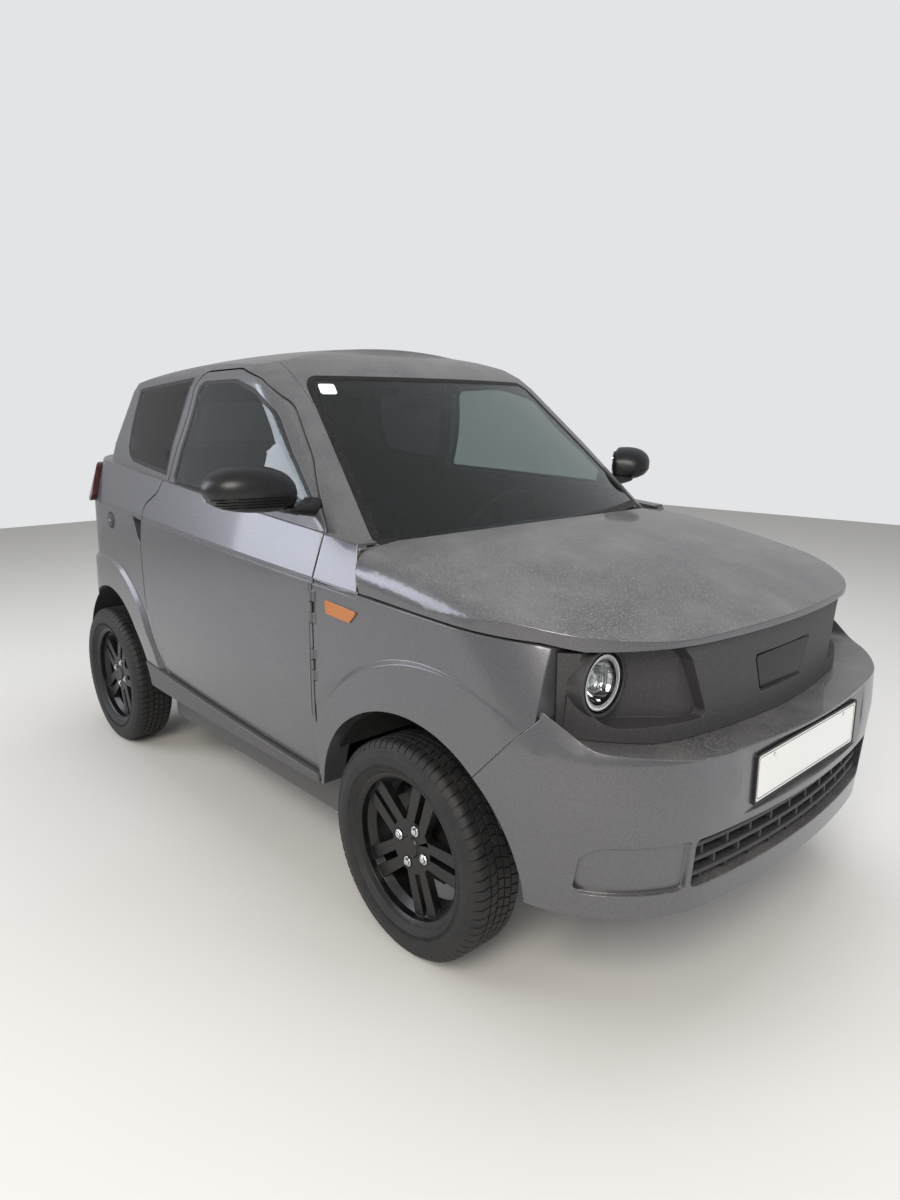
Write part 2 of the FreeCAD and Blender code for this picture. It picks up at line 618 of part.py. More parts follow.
# A pocket inboard of each lamp, a tube round the lamp and a shallow middle recess
pocket_front = [(-424, 900, 6), (-362, 824, 6), (-306, 684, 14), (-540, 690, 60), (-600, 760, 30), (-600, 900)]
pocket_plan = [(1346, -296, 10), (1318, -372, 90), (1236, -468, 60), (1228, -620), (1700, -620), (1700, -296)]
pocket = prism("x", pocket_front, 1190, 1700).common(prism("z", pocket_plan, 600, 950))
middle_line = [(-105, 700, 8), (105, 700, 8), (140, 797, 8), (-140, 797, 8)]
lamp_panel = less(lamp_panel, pocket, mirrored(pocket), prism("x", middle_line, size("panel_front") - 9, 1500))
back_face = 1190.4
lamp_way = Vector(1, 0, 0)
lamp_hole = size("lamp_radius") + seam
for way in (-1, 1):
    centre = Vector(back_face, way * size("lamp_side"), size("lamp_height"))
    tube = Part.makeCylinder(lamp_hole + size("lamp_tube"), size("lamp_face") + 5 - back_face, centre, lamp_way)
    tube = tube.common(block(0, 1700, -far, far, panel_low, panel_high))
    lamp_panel = lamp_panel.fuse(tube).cut(Part.makeCylinder(lamp_hole, 300, centre - lamp_way * 40, lamp_way))
feature("lamp_panel", biggest(lamp_panel))


def bonnet_block(inset):
    """The bonnet as a block: crown arcs that run into rounded shoulders."""
    # place along the car, half width, crown height, crown radius, shoulder radius
    table = [
        (520, 718, 1052, 6000, 75), (860, 712, 1012, 5600, 70),
        (1180, 704, 944, 5200, 60), (1440, 690, 868, 5000, 50),
    ]
    wires = []
    for place, half, crown, bow, shoulder in table:
        half -= inset
        crown -= inset
        bow -= inset
        shoulder -= inset
        centre = Vector(place, 0, crown - bow)
        turn = Vector(place, half - shoulder, crown - bow + math.sqrt((bow - shoulder) ** 2 - (half - shoulder) ** 2))
        top = centre + (turn - centre).normalize() * bow
        out = turn + Vector(0, shoulder, 0)
        round_middle = turn + ((top + out) * 0.5 - turn).normalize() * shoulder
        low = Vector(place, half, 560)

        def flip(point):
            return Vector(point.x, -point.y, point.z)

        edges = [
            Part.Arc(top, Vector(place, 0, crown), flip(top)).toShape(),
            Part.Arc(flip(top), flip(round_middle), flip(out)).toShape(),
            Part.LineSegment(flip(out), flip(low)).toShape(),
            Part.LineSegment(flip(low), low).toShape(),
            Part.LineSegment(low, out).toShape(),
            Part.Arc(out, round_middle, top).toShape(),
        ]
        wires.append(Part.Wire(edges))
    return Part.makeLoft(wires, True, False)


def bonnet_plan(inset):
    wire = plan_wire(half_length - size("groove_front") - inset, half_width - size("groove_tuck") - inset, 1000, 700,
                     0.0, size("nose_bow") - inset, size("nose_corner") - inset)
    return Part.Face(wire).extrude(Vector(0, 0, 700))


bonnet = bonnet_block(0).common(bonnet_plan(1))
bonnet = bonnet.cut(bonnet_block(size("bonnet_wall")).common(bonnet_plan(size("bonnet_wall"))))
bonnet = bonnet.common(prism("y", nose_line, -far, far, grow=-gap)).cut(upper_solid(-30))
lid_notch = Part.makeCylinder(barrel + 1.5, 26, Vector(lid_x, -681, lid_z), Vector(0, 1, 0))
bonnet = less(bonnet, lid_notch, mirrored(lid_notch))
feature("bonnet", biggest(bonnet.fuse(lid_barrels[True])))
# Rear bumper, sills, lamps and markers

rear_bumper = ring.common(rear_region).cut(block(-1300, 0, -far, far, 596, 1700))
feature("rear_bumper", biggest(rear_bumper))
sill_skin = lower_solid(-size("sill_step")).cut(lower_inner)
sills = less(sill_skin.common(sill_region), fender_wide, mirrored(fender_wide), *arches)
sills = sills.cut(block(-1700, 1700, -500, 500, 0, 900))
sills = sills.cut(block(-1700, 1700, -far, far, 0, size("sill_bottom")))
beam_low = size("floor_top") - size("floor_thick") - 10
beam = block(-700, 430, -648, -600, beam_low, 350).fuse(block(-700, 430, -690, -600, size("sill_bottom") + 1, 350))
sills = sills.fuse([beam, mirrored(beam)])
feature("sills", sills)

# Lamps at the rear corners and side markers, set on the skin

tail_lamp_line = [(-1190, size("tail_lamp_low"), 25), (-1700, size("tail_lamp_low")),
                  (-1700, size("tail_lamp_high")), (-1250, size("tail_lamp_high"), 40)]
lamp_skin = lower_solid(-size("tail_lamp_rise")).cut(lower_solid(-seam))
tail_lamp = biggest(lamp_skin.common(prism("y", tail_lamp_line, -far, -size("tail_lamp_in"))))
feature("tail_lamps", Part.makeCompound([tail_lamp, mirrored(tail_lamp)]))
marker_line = [(506, 838, 4), (604, 830, 4), (636, 862, 4), (500, 874, 4)]
marker_skin = lower_solid(-5).cut(lower_solid(-seam))
marker = biggest(marker_skin.common(prism("y", marker_line, -far, 0)))
feature("side_markers", Part.makeCompound([marker, mirrored(marker)]))

# Headlamps: round housings in the lamp panel

headlamps = []
for way in (-1, 1):
    centre = Vector(size("lamp_face") - size("lamp_depth"), way * size("lamp_side"), size("lamp_height"))
    headlamps.append(Part.makeCylinder(size("lamp_radius"), size("lamp_depth"), centre, lamp_way))
feature("headlamps", Part.makeCompound(headlamps))

# Floor, firewall and boot floor in one pressing

floor_low = size("floor_top") - size("floor_thick")
floor_up = size("floor_top")
boot = size("boot_top")
sheet_thick = 26
fire_x = 520
cowl_z = 968
floor_half = 600 - seam
floor_side = [(fire_x + 34, floor_low), (fire_x + 34, cowl_z), (fire_x, cowl_z), (fire_x, floor_up),
              (-690, floor_up), (-690, boot), (-1392, boot), (-1392, boot - sheet_thick),
              (-720, boot - sheet_thick), (-720, floor_low)]
floor_pan = prism("y", floor_side, -floor_half, floor_half)
floor_pan = floor_pan.cut(block(-1500, -740, -floor_half - 1, -428, 0, boot + 10))
floor_pan = floor_pan.cut(block(-1500, -740, 428, floor_half + 1, 0, boot + 10))
front_arch = wheel_cylinder(front_x, wheel_z, size("arch_radius"), -700, -size("liner_inner"))
floor_pan = less(floor_pan, front_arch, mirrored(front_arch))
feature("floor_pan", floor_pan)

# Arch liners: thin shells inside the wheel openings

liners = []
for x, z, radius in ((front_x, wheel_z, size("arch_radius")), (rear_arch_x, rear_arch_z, size("rear_arch_radius"))):
    shell = wheel_cylinder(x, z, radius - seam, -700, -size("liner_inner")).cut(
        wheel_cylinder(x, z, radius - seam - size("liner_wall"), -701, -size("liner_inner") - size("liner_wall")))
    shell = shell.cut(block(x - 500, x + 500, -800, 0, -200, 455))
    liners += [shell, mirrored(shell)]
feature("arch_liners", Part.makeCompound(liners))

# Scuttle under the windscreen and the dashboard behind it

scuttle_plan = plan_wire(size("base_front") + 6, size("base_half"), size("base_rear"), cowl_z + seam, 0.0,
                         size("screen_bow"), size("screen_corner"), size("rear_bow"), size("screen_corner"))
scuttle_top = 1005.6
scuttle = Part.Face(scuttle_plan).extrude(Vector(0, 0, scuttle_top - cowl_z - seam))
scuttle = scuttle.common(block(fire_x - 60, 800, -scuttle_half, scuttle_half, 900, 1100))
lid_space = bonnet_block(-gap).cut(bonnet_block(size("bonnet_wall") + gap)).common(prism("y", nose_line, -far, far))
scuttle = biggest(scuttle.cut(lid_space))
feature("scuttle", scuttle)

dash_line = [(fire_x - seam, 950, 10), (fire_x - seam, 690, 10), (430, 640, 40), (335, 655, 40),
             (300, 760, 60), (325, 890, 50), (430, 950, 60)]
dash = prism("y", dash_line, -588, 588)
rake = math.radians(size("steer_rake"))
column_way = Vector(math.cos(rake), 0, -math.sin(rake))
steer_at = Vector(size("steer_place"), size("steer_side"), size("steer_height"))
hub_back = 25
column = Part.makeCylinder(22, 280, steer_at + column_way * (hub_back + gap_run), column_way)
feature("dashboard", dash.fuse(column))

# Seats: cushion, back and head rest of each in one profile

seat_line = [(-20, floor_up + seam, 20), (5, 400, 40), (-40, 445, 40), (-405, 402, 60), (-540, 830, 90),
             (-548, 1010, 40), (-632, 1010, 40), (-655, 830, 90), (-560, 300, 60), (-540, floor_up + seam, 20)]
seats = []
for way in (-1, 1):
    middle = way * size("seat_side")
    half_seat = size("seat_width") / 2
    seats.append(prism("y", seat_line, middle - half_seat, middle + half_seat))
feature("seats", Part.makeCompound(seats))

# Mirrors

sail_line = [(266, 1128, 6), (296, 1186, 6), (392, 1092, 10), (402, 1062, 6)]
sail = upper_solid(-4).cut(upper_solid(-seam)).common(prism("y", sail_line, -far, 0))
mirror_front = [(-736, 1106, 24), (-950, 1112, 60), (-972, 1180, 60), (-850, 1222, 110), (-732, 1200, 40)]
mirror_plan = [(430, -736, 60), (424, -880, 100), (350, -972, 50), (280, -966, 12), (280, -736, 20)]
mirror_side = [(276, 1104, 12), (390, 1100, 60), (440, 1140, 60), (424, 1196, 70), (330, 1224, 90), (276, 1218, 12)]
mirror = prism("x", mirror_front, 200, 500).common(prism("z", mirror_plan, 1000, 1300))
mirror = mirror.common(prism("y", mirror_side, -far - 100, -600))
arm = prism("x", [(-640, 1080), (-780, 1098), (-780, 1128), (-640, 1116)], 310, 372)
arm = arm.cut(upper_solid(-seam))
mirror_foot = arm.fuse(biggest(sail))
feature("mirror_right", biggest(mirror_foot.fuse(mirror)))
fold = 30
folded = mirrored(mirror).rotated(Vector(345, 778, 0), Vector(0, 0, 1), fold).translated(Vector(0, 14, 0))
feature("mirror_left", biggest(mirrored(mirror_foot).fuse(folded)))
inner_mirror = block(52, 76, -112, 112, 1362, 1426).fuse(block(70, 260, -12, 12, 1392, 1410))
feature("inner_mirror", biggest(inner_mirror.common(upper_solid(size("glass_inset") + size("glass_thick") + gap_run))))

wiper_line = [(20, 1016), (560, 1030), (560, 1044), (20, 1034)]
wiper = upper_solid(-12).cut(upper_solid(size("glass_inset") - gap_run)).common(prism("x", wiper_line, 300, 1000))
feature("wiper", biggest(wiper))

# Engine on its subframe

rail_in, rail_out = 270, 330
rail_low, rail_top = floor_low, floor_up + 10
front_face = fire_x + 34 + seam
beam_x = 1300
parts = []
for way in (-1, 1):
    low, high = sorted((way * rail_in, way * rail_out))
    parts.append(block(front_face, beam_x + 30, low, high, rail_low, rail_top))
    parts.append(block(beam_x, beam_x + 30, low, high, rail_top, 400))
    parts.append(block(front_x - 35, front_x + 35, low, high, 150, rail_low))
    parts.append(block(front_x - 35, front_x + 35, low, high, rail_top, size("kingpin_high") + 22))
    end = way * (size("kingpin_side") + 25)
    low, high = sorted((way * rail_in, end))
    parts.append(block(front_x - 25, front_x + 25, low, high, 150, size("kingpin_low") - gap_run))
    parts.append(block(front_x - 25, front_x + 25, low, high, size("kingpin_high") + gap_run, size("kingpin_high") + 22))
parts.append(block(600, 660, -rail_in, rail_in, rail_low, rail_top))
parts.append(block(980, 1040, -rail_in, rail_in, rail_low, rail_top))
beam = block(beam_x, 1420, -rail_out, rail_out, 360, 400).common(lower_solid(size("bumper_wall") + seam))
parts.append(beam)
feature("front_subframe", parts[0].fuse(parts[1:]))
engine = doc.addObject("Part::Box", "engine_block")
engine.Length = 400
engine.Width = 440
engine.Height = 360
engine.Placement = Placement(Vector(front_x - 170, -220, rail_top + seam), Rotation())
keep("engine_block", engine)

# Number plate: bound to its own sizes

plate = doc.addObject("Part::Box", "front_plate")
plate.setExpression("Length", "Sizes.plate_thick")
plate.setExpression("Width", "Sizes.plate_width")
plate.setExpression("Height", "Sizes.plate_height")
plate.setExpression("Placement.Base.x", "Sizes.car_length / 2 - 27 + Sizes.seam_gap")
plate.setExpression("Placement.Base.y", "-Sizes.plate_width / 2")
plate.setExpression("Placement.Base.z", "Sizes.plate_level - Sizes.plate_height / 2")
keep("front_plate", plate)

# Knuckles and rear axle

hub_face = "(Sizes.wheel_offset + Sizes.rim_width / 2 - Sizes.hub_set - Sizes.spoke_thick - Sizes.running_gap)"


def cylinder(node, radius, height, x, y, z, along_y):
    """A cylinder bound to the sheet, upright or along the wheel axis towards one side."""
    item = doc.addObject("Part::Cylinder", node)
    item.setExpression("Radius", radius)
    item.setExpression("Height", height)
    if along_y:
        item.Placement = Placement(Vector(0, 0, 0), Rotation(Vector(1, 0, 0), -90 * along_y))
    for axis, value in (("x", x), ("y", y), ("z", z)):
        item.setExpression("Placement.Base." + axis, value)
    return item


def fused(node, items):
    """Several objects joined into one piece."""
    whole = doc.addObject("Part::MultiFuse", node)
    whole.Shapes = items
    return keep(node, whole)


for name, way in (("right", -1), ("left", 1)):
    sign = "-" if way < 0 else ""
    pin = cylinder("kingpin_" + name, "Sizes.kingpin_radius", "Sizes.kingpin_high - Sizes.kingpin_low",
                   "Sizes.front_axle", sign + "Sizes.kingpin_side", "Sizes.kingpin_low", 0)
    stub = cylinder("stub_" + name, "Sizes.stub_radius", hub_face + " - Sizes.kingpin_side",
                    "Sizes.front_axle", sign + "Sizes.kingpin_side", "Sizes.tyre_radius", way)
    shield = cylinder("shield_" + name, "Sizes.shield_radius", "8",
                      "Sizes.front_axle", sign + "(Sizes.kingpin_side + 42)", "Sizes.tyre_radius", way)
    fused("knuckle_" + name, [pin, stub, shield])
beam = cylinder("axle_beam", "Sizes.axle_radius", "2 * Sizes.kingpin_side", "Sizes.front_axle - Sizes.wheelbase",
                "-Sizes.kingpin_side", "Sizes.tyre_radius", 1)
stub = cylinder("axle_stub", "Sizes.stub_radius", "2 * " + hub_face, "Sizes.front_axle - Sizes.wheelbase",
                "-" + hub_face, "Sizes.tyre_radius", 1)
arms = []
for name, way in (("right", -1), ("left", 1)):
    arm = doc.addObject("Part::Box", "trailing_arm_" + name)
    arm.Length = -720 - seam - rear_x
    arm.Width = 60
    arm.Height = 44
    arm.Placement = Placement(Vector(rear_x, way * 360 - 30, wheel_z - 22), Rotation())
    arms.append(arm)
fused("rear_axle", [beam, stub] + arms)

# Steering wheel: rim, hub and three spokes

rim = doc.addObject("Part::Torus", "steer_rim_ring")
rim.setExpression("Radius1", "Sizes.steer_radius")
rim.setExpression("Radius2", "Sizes.steer_rim")
boss = doc.addObject("Part::Cylinder", "steer_boss")
boss.Radius = 42
boss.Height = hub_back + 14
boss.Placement = Placement(Vector(0, 0, -hub_back), Rotation())
spokes = []
for angle in (90, 210, 330):
    spoke = doc.addObject("Part::Box", "steer_spoke_%d" % angle)
    spoke.setExpression("Length", "Sizes.steer_radius")
    spoke.Width = 34
    spoke.Height = 12
    turn = Rotation(Vector(0, 0, 1), angle)
    spoke.Placement = Placement(turn.multVec(Vector(0, -17, -6)), turn)
    spokes.append(spoke)
steering = fused("steering_wheel", [rim, boss] + spokes)
steering.Placement = Placement(steer_at, Rotation(Vector(0, 1, 0), -(90 - size("steer_rake"))))

# Wheels: each rim and tyre is a turned body, four of each


def origin_plane(body, role):
    """One of a body's own origin planes."""
    return [item for item in body.Origin.OriginFeatures if item.Role == role][0]


def sketch(body, name, role, points):
    """A closed outline whose corners are bound to the sheet."""
    drawing = body.newObject("Sketcher::SketchObject", name)
    drawing.AttachmentSupport = (origin_plane(body, role), "")
    drawing.MapMode = "FlatFace"
    values = [(float(sheet.evalExpression(x)), float(sheet.evalExpression(y))) for x, y in points]
    count = len(points)
    for index in range(count):
        start = Vector(values[index][0], values[index][1], 0)
        end = Vector(values[(index + 1) % count][0], values[(index + 1) % count][1], 0)
        drawing.addGeometry(Part.LineSegment(start, end), False)
    for index in range(count):
        drawing.addConstraint(Sketcher.Constraint("Coincident", index, 2, (index + 1) % count, 1))
    for index in range(count):
        for kind, value, expression in (("DistanceX", values[index][0], points[index][0]),
                                        ("DistanceY", values[index][1], points[index][1])):
            number = drawing.addConstraint(Sketcher.Constraint(kind, -1, 1, index, 1, value))
            drawing.setExpression("Constraints[%d]" % number, expression)
    return drawing


def revolution(body, name, profile):
    """A full turn of a profile about the body's upright axis."""
    turned = body.newObject("PartDesign::Revolution", name)
    turned.Profile = profile
    turned.ReferenceAxis = (profile, ["V_Axis"])
    turned.Angle = 360
    profile.Visibility = False
    return turned


half_rim = "Sizes.rim_width / 2"
bead = "Sizes.bead_radius - Sizes.rim_wall / 4"
well = "Sizes.bead_radius - Sizes.well_depth"
wall = "Sizes.rim_wall"
rim_profile = [
    ("Sizes.flange_radius", half_rim), ("Sizes.flange_radius", half_rim + " - 4"),
    (bead, half_rim + " - 7"), (bead, "Sizes.rim_width / 4"), (well, "Sizes.rim_width / 7"),
    (well, "-Sizes.rim_width / 3"), (bead, "-Sizes.rim_width / 2.4"), (bead, "-(" + half_rim + " - 7)"),
    ("Sizes.flange_radius", "-(" + half_rim + " - 4)"), ("Sizes.flange_radius", "-" + half_rim),
    ("Sizes.flange_radius - " + wall, "-" + half_rim), (bead + " - " + wall, "-(" + half_rim + " - 9)"),
    (well + " - " + wall, "-Sizes.rim_width / 3.2"), (well + " - " + wall, "Sizes.rim_width / 7"),
    (bead + " - " + wall, "Sizes.rim_width / 3.6"), (bead + " - " + wall, half_rim + " - 9"),
    ("Sizes.flange_radius - " + wall, half_rim),
]
face_level = half_rim + " - Sizes.hub_set"
hub_profile = [
    ("0", face_level + " - Sizes.spoke_thick"), ("Sizes.hub_radius", face_level + " - Sizes.spoke_thick"),
    ("Sizes.hub_radius", face_level), ("Sizes.hub_radius * 0.4", face_level),
    ("Sizes.hub_radius * 0.36", face_level + " + 5"), ("0", face_level + " + 5"),
]
spoke_low = "Sizes.spoke_gap / 2"
spoke_high = "Sizes.spoke_gap / 2 + Sizes.spoke_width"
spoke_end = "Sizes.bead_radius - Sizes.rim_wall * 1.2"
spoke_wide = spoke_high + " + Sizes.spoke_flare"
shoulder = "Sizes.tread_width / 2"
bead_seat = bead + " + Sizes.running_gap"
half_tyre = "Sizes.tyre_width / 2"
tyre_profile = [
    (bead_seat, "-(" + half_rim + " - 8.5)"), (bead_seat, half_rim + " - 8.5"),
    ("Sizes.flange_radius + 1", half_rim + " - 6"), ("Sizes.flange_radius + 4", half_rim + " + 6"),
    ("(Sizes.tyre_radius + Sizes.flange_radius) / 2", half_tyre),
    ("Sizes.tyre_radius - 18", half_tyre + " - 4"), ("Sizes.tyre_radius - 6", shoulder + " + 6"),
    ("Sizes.tyre_radius", shoulder), ("Sizes.tyre_radius", "-" + shoulder),
    ("Sizes.tyre_radius - 6", "-(" + shoulder + " + 6)"), ("Sizes.tyre_radius - 18", "-(" + half_tyre + " - 4)"),
    ("(Sizes.tyre_radius + Sizes.flange_radius) / 2", "-" + half_tyre),
    ("Sizes.flange_radius + 4", "-(" + half_rim + " + 6)"), ("Sizes.flange_radius + 1", "-(" + half_rim + " - 6)"),
]


def place_wheel(body, axle, way):
    """Stand a wheel piece on its axle with its outer face towards the side."""
    body.Placement = Placement(Vector(0, 0, 0), Rotation(Vector(1, 0, 0), -90 * way))
    body.setExpression("Placement.Base.x", axle)
    body.setExpression("Placement.Base.y", ("-" if way < 0 else "") + "Sizes.wheel_offset")
    body.setExpression("Placement.Base.z", "Sizes.tyre_radius")


axles = {"front": "Sizes.front_axle", "rear": "Sizes.front_axle - Sizes.wheelbase"}
for end, axle in axles.items():
    for side_name, way in (("right", -1), ("left", 1)):
        place = "%s_%s" % (end, side_name)
        body = doc.addObject("PartDesign::Body", "rim_" + place)
        revolution(body, "barrel_" + place, sketch(body, "barrel_line_" + place, "XZ_Plane", rim_profile))
        revolution(body, "hub_" + place, sketch(body, "hub_line_" + place, "XZ_Plane", hub_profile))
        pads = []
        for number, mark in enumerate(("", "-")):
            outline = sketch(body, "spoke_line_%s_%d" % (place, number), "XY_Plane",
                             [("Sizes.hub_radius - 20", mark + "(" + spoke_low + ")"),
                              (spoke_end, mark + "(" + spoke_low + ")"), (spoke_end, mark + "(" + spoke_wide + ")"),
                              ("Sizes.hub_radius - 20", mark + "(" + spoke_high + ")")])
            outline.setExpression("AttachmentOffset.Base.z", face_level + " - Sizes.spoke_thick")
            pad = body.newObject("PartDesign::Pad", "spoke_%s_%d" % (place, number))
            pad.Profile = outline
            pad.setExpression("Length", "Sizes.spoke_thick")
            pads.append(pad)
        doc.recompute()
        ring_of = body.newObject("PartDesign::PolarPattern", "spokes_" + place)
        ring_of.Originals = pads
        ring_of.Axis = (body.Origin.OriginFeatures[2], [""])
        ring_of.Angle = 360
        ring_of.setExpression("Occurrences", "Sizes.spoke_count")
        body.Tip = ring_of
        place_wheel(body, axle, way)
        keep("rim_" + place, body)
        tyre = doc.addObject("PartDesign::Body", "tyre_" + place)
        revolution(tyre, "tread_" + place, sketch(tyre, "tyre_line_" + place, "XZ_Plane", tyre_profile))
        place_wheel(tyre, axle, way)
        keep("tyre_" + place, tyre)

doc.recompute()

# Check and write every sub-part

for item in doc.Objects:
    if "Invalid" in item.State or "Error" in item.State:
        raise RuntimeError("%s did not compute: %s" % (item.Name, item.State))
os.makedirs("parts", exist_ok=True)
for item in nodes:
    shape = item.Shape
    if shape.isNull() or not shape.isValid() or shape.Volume <= 0:
        raise RuntimeError("%s has no sound shape" % item.Label)
    shape.exportStep("parts/%s.step" % item.Label)
    box = shape.BoundBox
    print("%-22s %2d solids %8.3f litres" % (item.Label, len(shape.Solids), shape.Volume / 1e6))
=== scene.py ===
import json
import math

import bmesh
import bpy
from mathutils import Matrix, Vector
from mathutils.bvhtree import BVHTree

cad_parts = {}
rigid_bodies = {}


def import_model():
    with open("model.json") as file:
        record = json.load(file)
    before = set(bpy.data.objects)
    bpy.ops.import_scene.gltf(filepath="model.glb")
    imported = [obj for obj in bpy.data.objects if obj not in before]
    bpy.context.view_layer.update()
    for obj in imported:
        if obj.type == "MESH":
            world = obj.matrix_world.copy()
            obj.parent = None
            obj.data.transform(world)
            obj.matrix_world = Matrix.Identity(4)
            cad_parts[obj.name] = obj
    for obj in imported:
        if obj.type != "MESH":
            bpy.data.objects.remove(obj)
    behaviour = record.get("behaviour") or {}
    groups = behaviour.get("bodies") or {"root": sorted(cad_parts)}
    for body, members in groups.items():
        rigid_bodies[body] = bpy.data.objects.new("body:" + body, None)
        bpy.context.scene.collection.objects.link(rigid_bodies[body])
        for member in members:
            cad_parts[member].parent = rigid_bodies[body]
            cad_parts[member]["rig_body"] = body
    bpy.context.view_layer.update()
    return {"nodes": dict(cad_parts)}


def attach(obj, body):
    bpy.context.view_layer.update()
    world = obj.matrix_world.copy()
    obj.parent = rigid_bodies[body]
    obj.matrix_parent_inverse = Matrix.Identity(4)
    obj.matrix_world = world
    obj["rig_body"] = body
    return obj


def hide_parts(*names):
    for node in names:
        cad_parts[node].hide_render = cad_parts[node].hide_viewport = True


scene = bpy.context.scene
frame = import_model()
cadNodes = frame["nodes"]
sides = {"right": -1, "left": 1}
sharpEdge = 38  # degrees between two faces from which their edge is sharp and gets a bevel
weldDistance = 0.00002  # metres


def toLinear(hexText):  # sRGB hex to the linear values that shaders read
    values = [int(hexText[i:i + 2], 16) / 255 for i in (1, 3, 5)]
    return tuple(v / 12.92 if v <= 0.04045 else ((v + 0.055) / 1.055) ** 2.4 for v in values) + (1.0,)


def addNode(tree, kind, values=None, links=None, **settings):
    node = tree.nodes.new(kind)
    for key, value in settings.items():
        setattr(node, key, value)
    for key, value in (values or {}).items():
        node.inputs[key].default_value = value
    for key, socket in (links or {}).items():
        tree.links.new(socket, node.inputs[key])
    return node


def startMaterial(name, colour, roughness, metallic=0.0, **sockets):
    material = bpy.data.materials.new(name)
    material.use_nodes = True
    tree = material.node_tree
    shader = tree.nodes["Principled BSDF"]
    shader.inputs["Base Color"].default_value = toLinear(colour)
    shader.inputs["Roughness"].default_value = roughness
    shader.inputs["Metallic"].default_value = metallic
    for key, value in sockets.items():
        shader.inputs[key.replace("_", " ")].default_value = value
    place = addNode(tree, "ShaderNodeTexCoord").outputs
    return material, tree, shader, place


def setSocket(tree, socket, value):  # a number or a hex colour is set, anything else is linked
    if isinstance(value, str):
        socket.default_value = toLinear(value)
    elif isinstance(value, float):
        socket.default_value = value
    else:
        tree.links.new(value, socket)


def feed(tree, shader, **sockets):
    for key, value in sockets.items():
        tree.links.new(value, shader.inputs[key.replace("_", " ")])


def remap(tree, value, **limits):  # from one range to another: From_Min, From_Max, To_Min, To_Max
    sockets = {key.replace("_", " "): limit for key, limit in limits.items()}
    return addNode(tree, "ShaderNodeMapRange", sockets, {"Value": value}).outputs["Result"]


def addNoise(tree, vector, **values):
    return addNode(tree, "ShaderNodeTexNoise", values, {"Vector": vector}).outputs["Fac"]


def noiseBand(tree, place, scale, low, high):  # noise cut to a soft mask from 0 to 1
    noise = addNoise(tree, place["Object"], Scale=scale, Detail=3.0, Roughness=0.55)
    return remap(tree, noise, From_Min=low, From_Max=high)


def multiply(tree, first, second):
    node = addNode(tree, "ShaderNodeMath", operation="MULTIPLY")
    setSocket(tree, node.inputs[0], first)
    setSocket(tree, node.inputs[1], second)
    return node.outputs[0]


def larger(tree, first, second):
    node = addNode(tree, "ShaderNodeMath", links={0: first, 1: second}, operation="MAXIMUM", use_clamp=True)
    return node.outputs[0]


def mixColour(tree, mask, first, second):
    node = addNode(tree, "ShaderNodeMix", data_type="RGBA")
    colours = [item for item in node.inputs if item.type == "RGBA"]
    tree.links.new(mask, node.inputs[0])
    setSocket(tree, colours[0], first)
    setSocket(tree, colours[1], second)
    return [item for item in node.outputs if item.type == "RGBA"][0]


def bump(tree, shader, height, strength, distance):
    node = addNode(tree, "ShaderNodeBump", {"Strength": strength, "Distance": distance}, {"Height": height})
    tree.links.new(node.outputs["Normal"], shader.inputs["Normal"])


def grain(tree, place, shader, scale, strength):  # fine moulded or cast texture, 0.2 mm deep
    bump(tree, shader, addNoise(tree, place["Object"], Scale=scale, Detail=2.0), strength, 0.0002)


# Materials

def makePaint(name, colour, dustAmount, scratches=0.0):
    # Metallic base coat under clear lacquer: aluminium flakes of about 1 mm, drawn coarse, so that they show
    lacquer = {"Coat_Weight": 0.6, "Coat_Roughness": 0.07}
    material, tree, shader, place = startMaterial(name, colour, 0.34, 0.68, **lacquer)
    flakes = addNode(tree, "ShaderNodeTexVoronoi", {"Scale": 850.0}, {"Vector": place["Object"]})
    flakeTone = remap(tree, flakes.outputs["Color"], To_Min=0.76, To_Max=1.3)
    toned = addNode(tree, "ShaderNodeHueSaturation", {"Color": toLinear(colour)}, {"Value": flakeTone})
    # Road dust lies on what faces up: specks of 2 to 4 mm, thicker in patches of 10 to 20 cm
    way = addNode(tree, "ShaderNodeSeparateXYZ", links={"Vector": place["Normal"]})
    upward = remap(tree, way.outputs["Z"], From_Min=0.45, From_Max=0.95, To_Min=0.05)
    patches = noiseBand(tree, place, 6.0, 0.32, 0.72)
    film = multiply(tree, multiply(tree, upward, patches), dustAmount * 0.75)
    coarse, fine = noiseBand(tree, place, 230.0, 0.52, 0.64), noiseBand(tree, place, 620.0, 0.55, 0.66)
    specks = multiply(tree, larger(tree, coarse, fine), upward)
    total = larger(tree, film, multiply(tree, specks, dustAmount * 1.1))
    if scratches:  # fine lines, drawn 1 mm wide, that run along the car
        stretch = {"Scale": (1.6, 1.0, 150.0), "Rotation": (0.0, 0.06, 0.0)}
        stretched = addNode(tree, "ShaderNodeMapping", stretch, {"Vector": place["Object"]})
        streaks = addNoise(tree, stretched.outputs[0], Scale=5.0, Detail=1.0)
        lines = remap(tree, streaks, From_Min=0.70, From_Max=0.74)
        worn = multiply(tree, lines, noiseBand(tree, place, 3.5, 0.42, 0.62))
        total = larger(tree, total, multiply(tree, worn, scratches))
    feed(tree, shader, Base_Color=mixColour(tree, total, toned.outputs["Color"], "#96938c"),
         Roughness=remap(tree, total, To_Min=0.32, To_Max=0.75),
         Metallic=remap(tree, total, To_Min=0.68, To_Max=0.08))
    return material


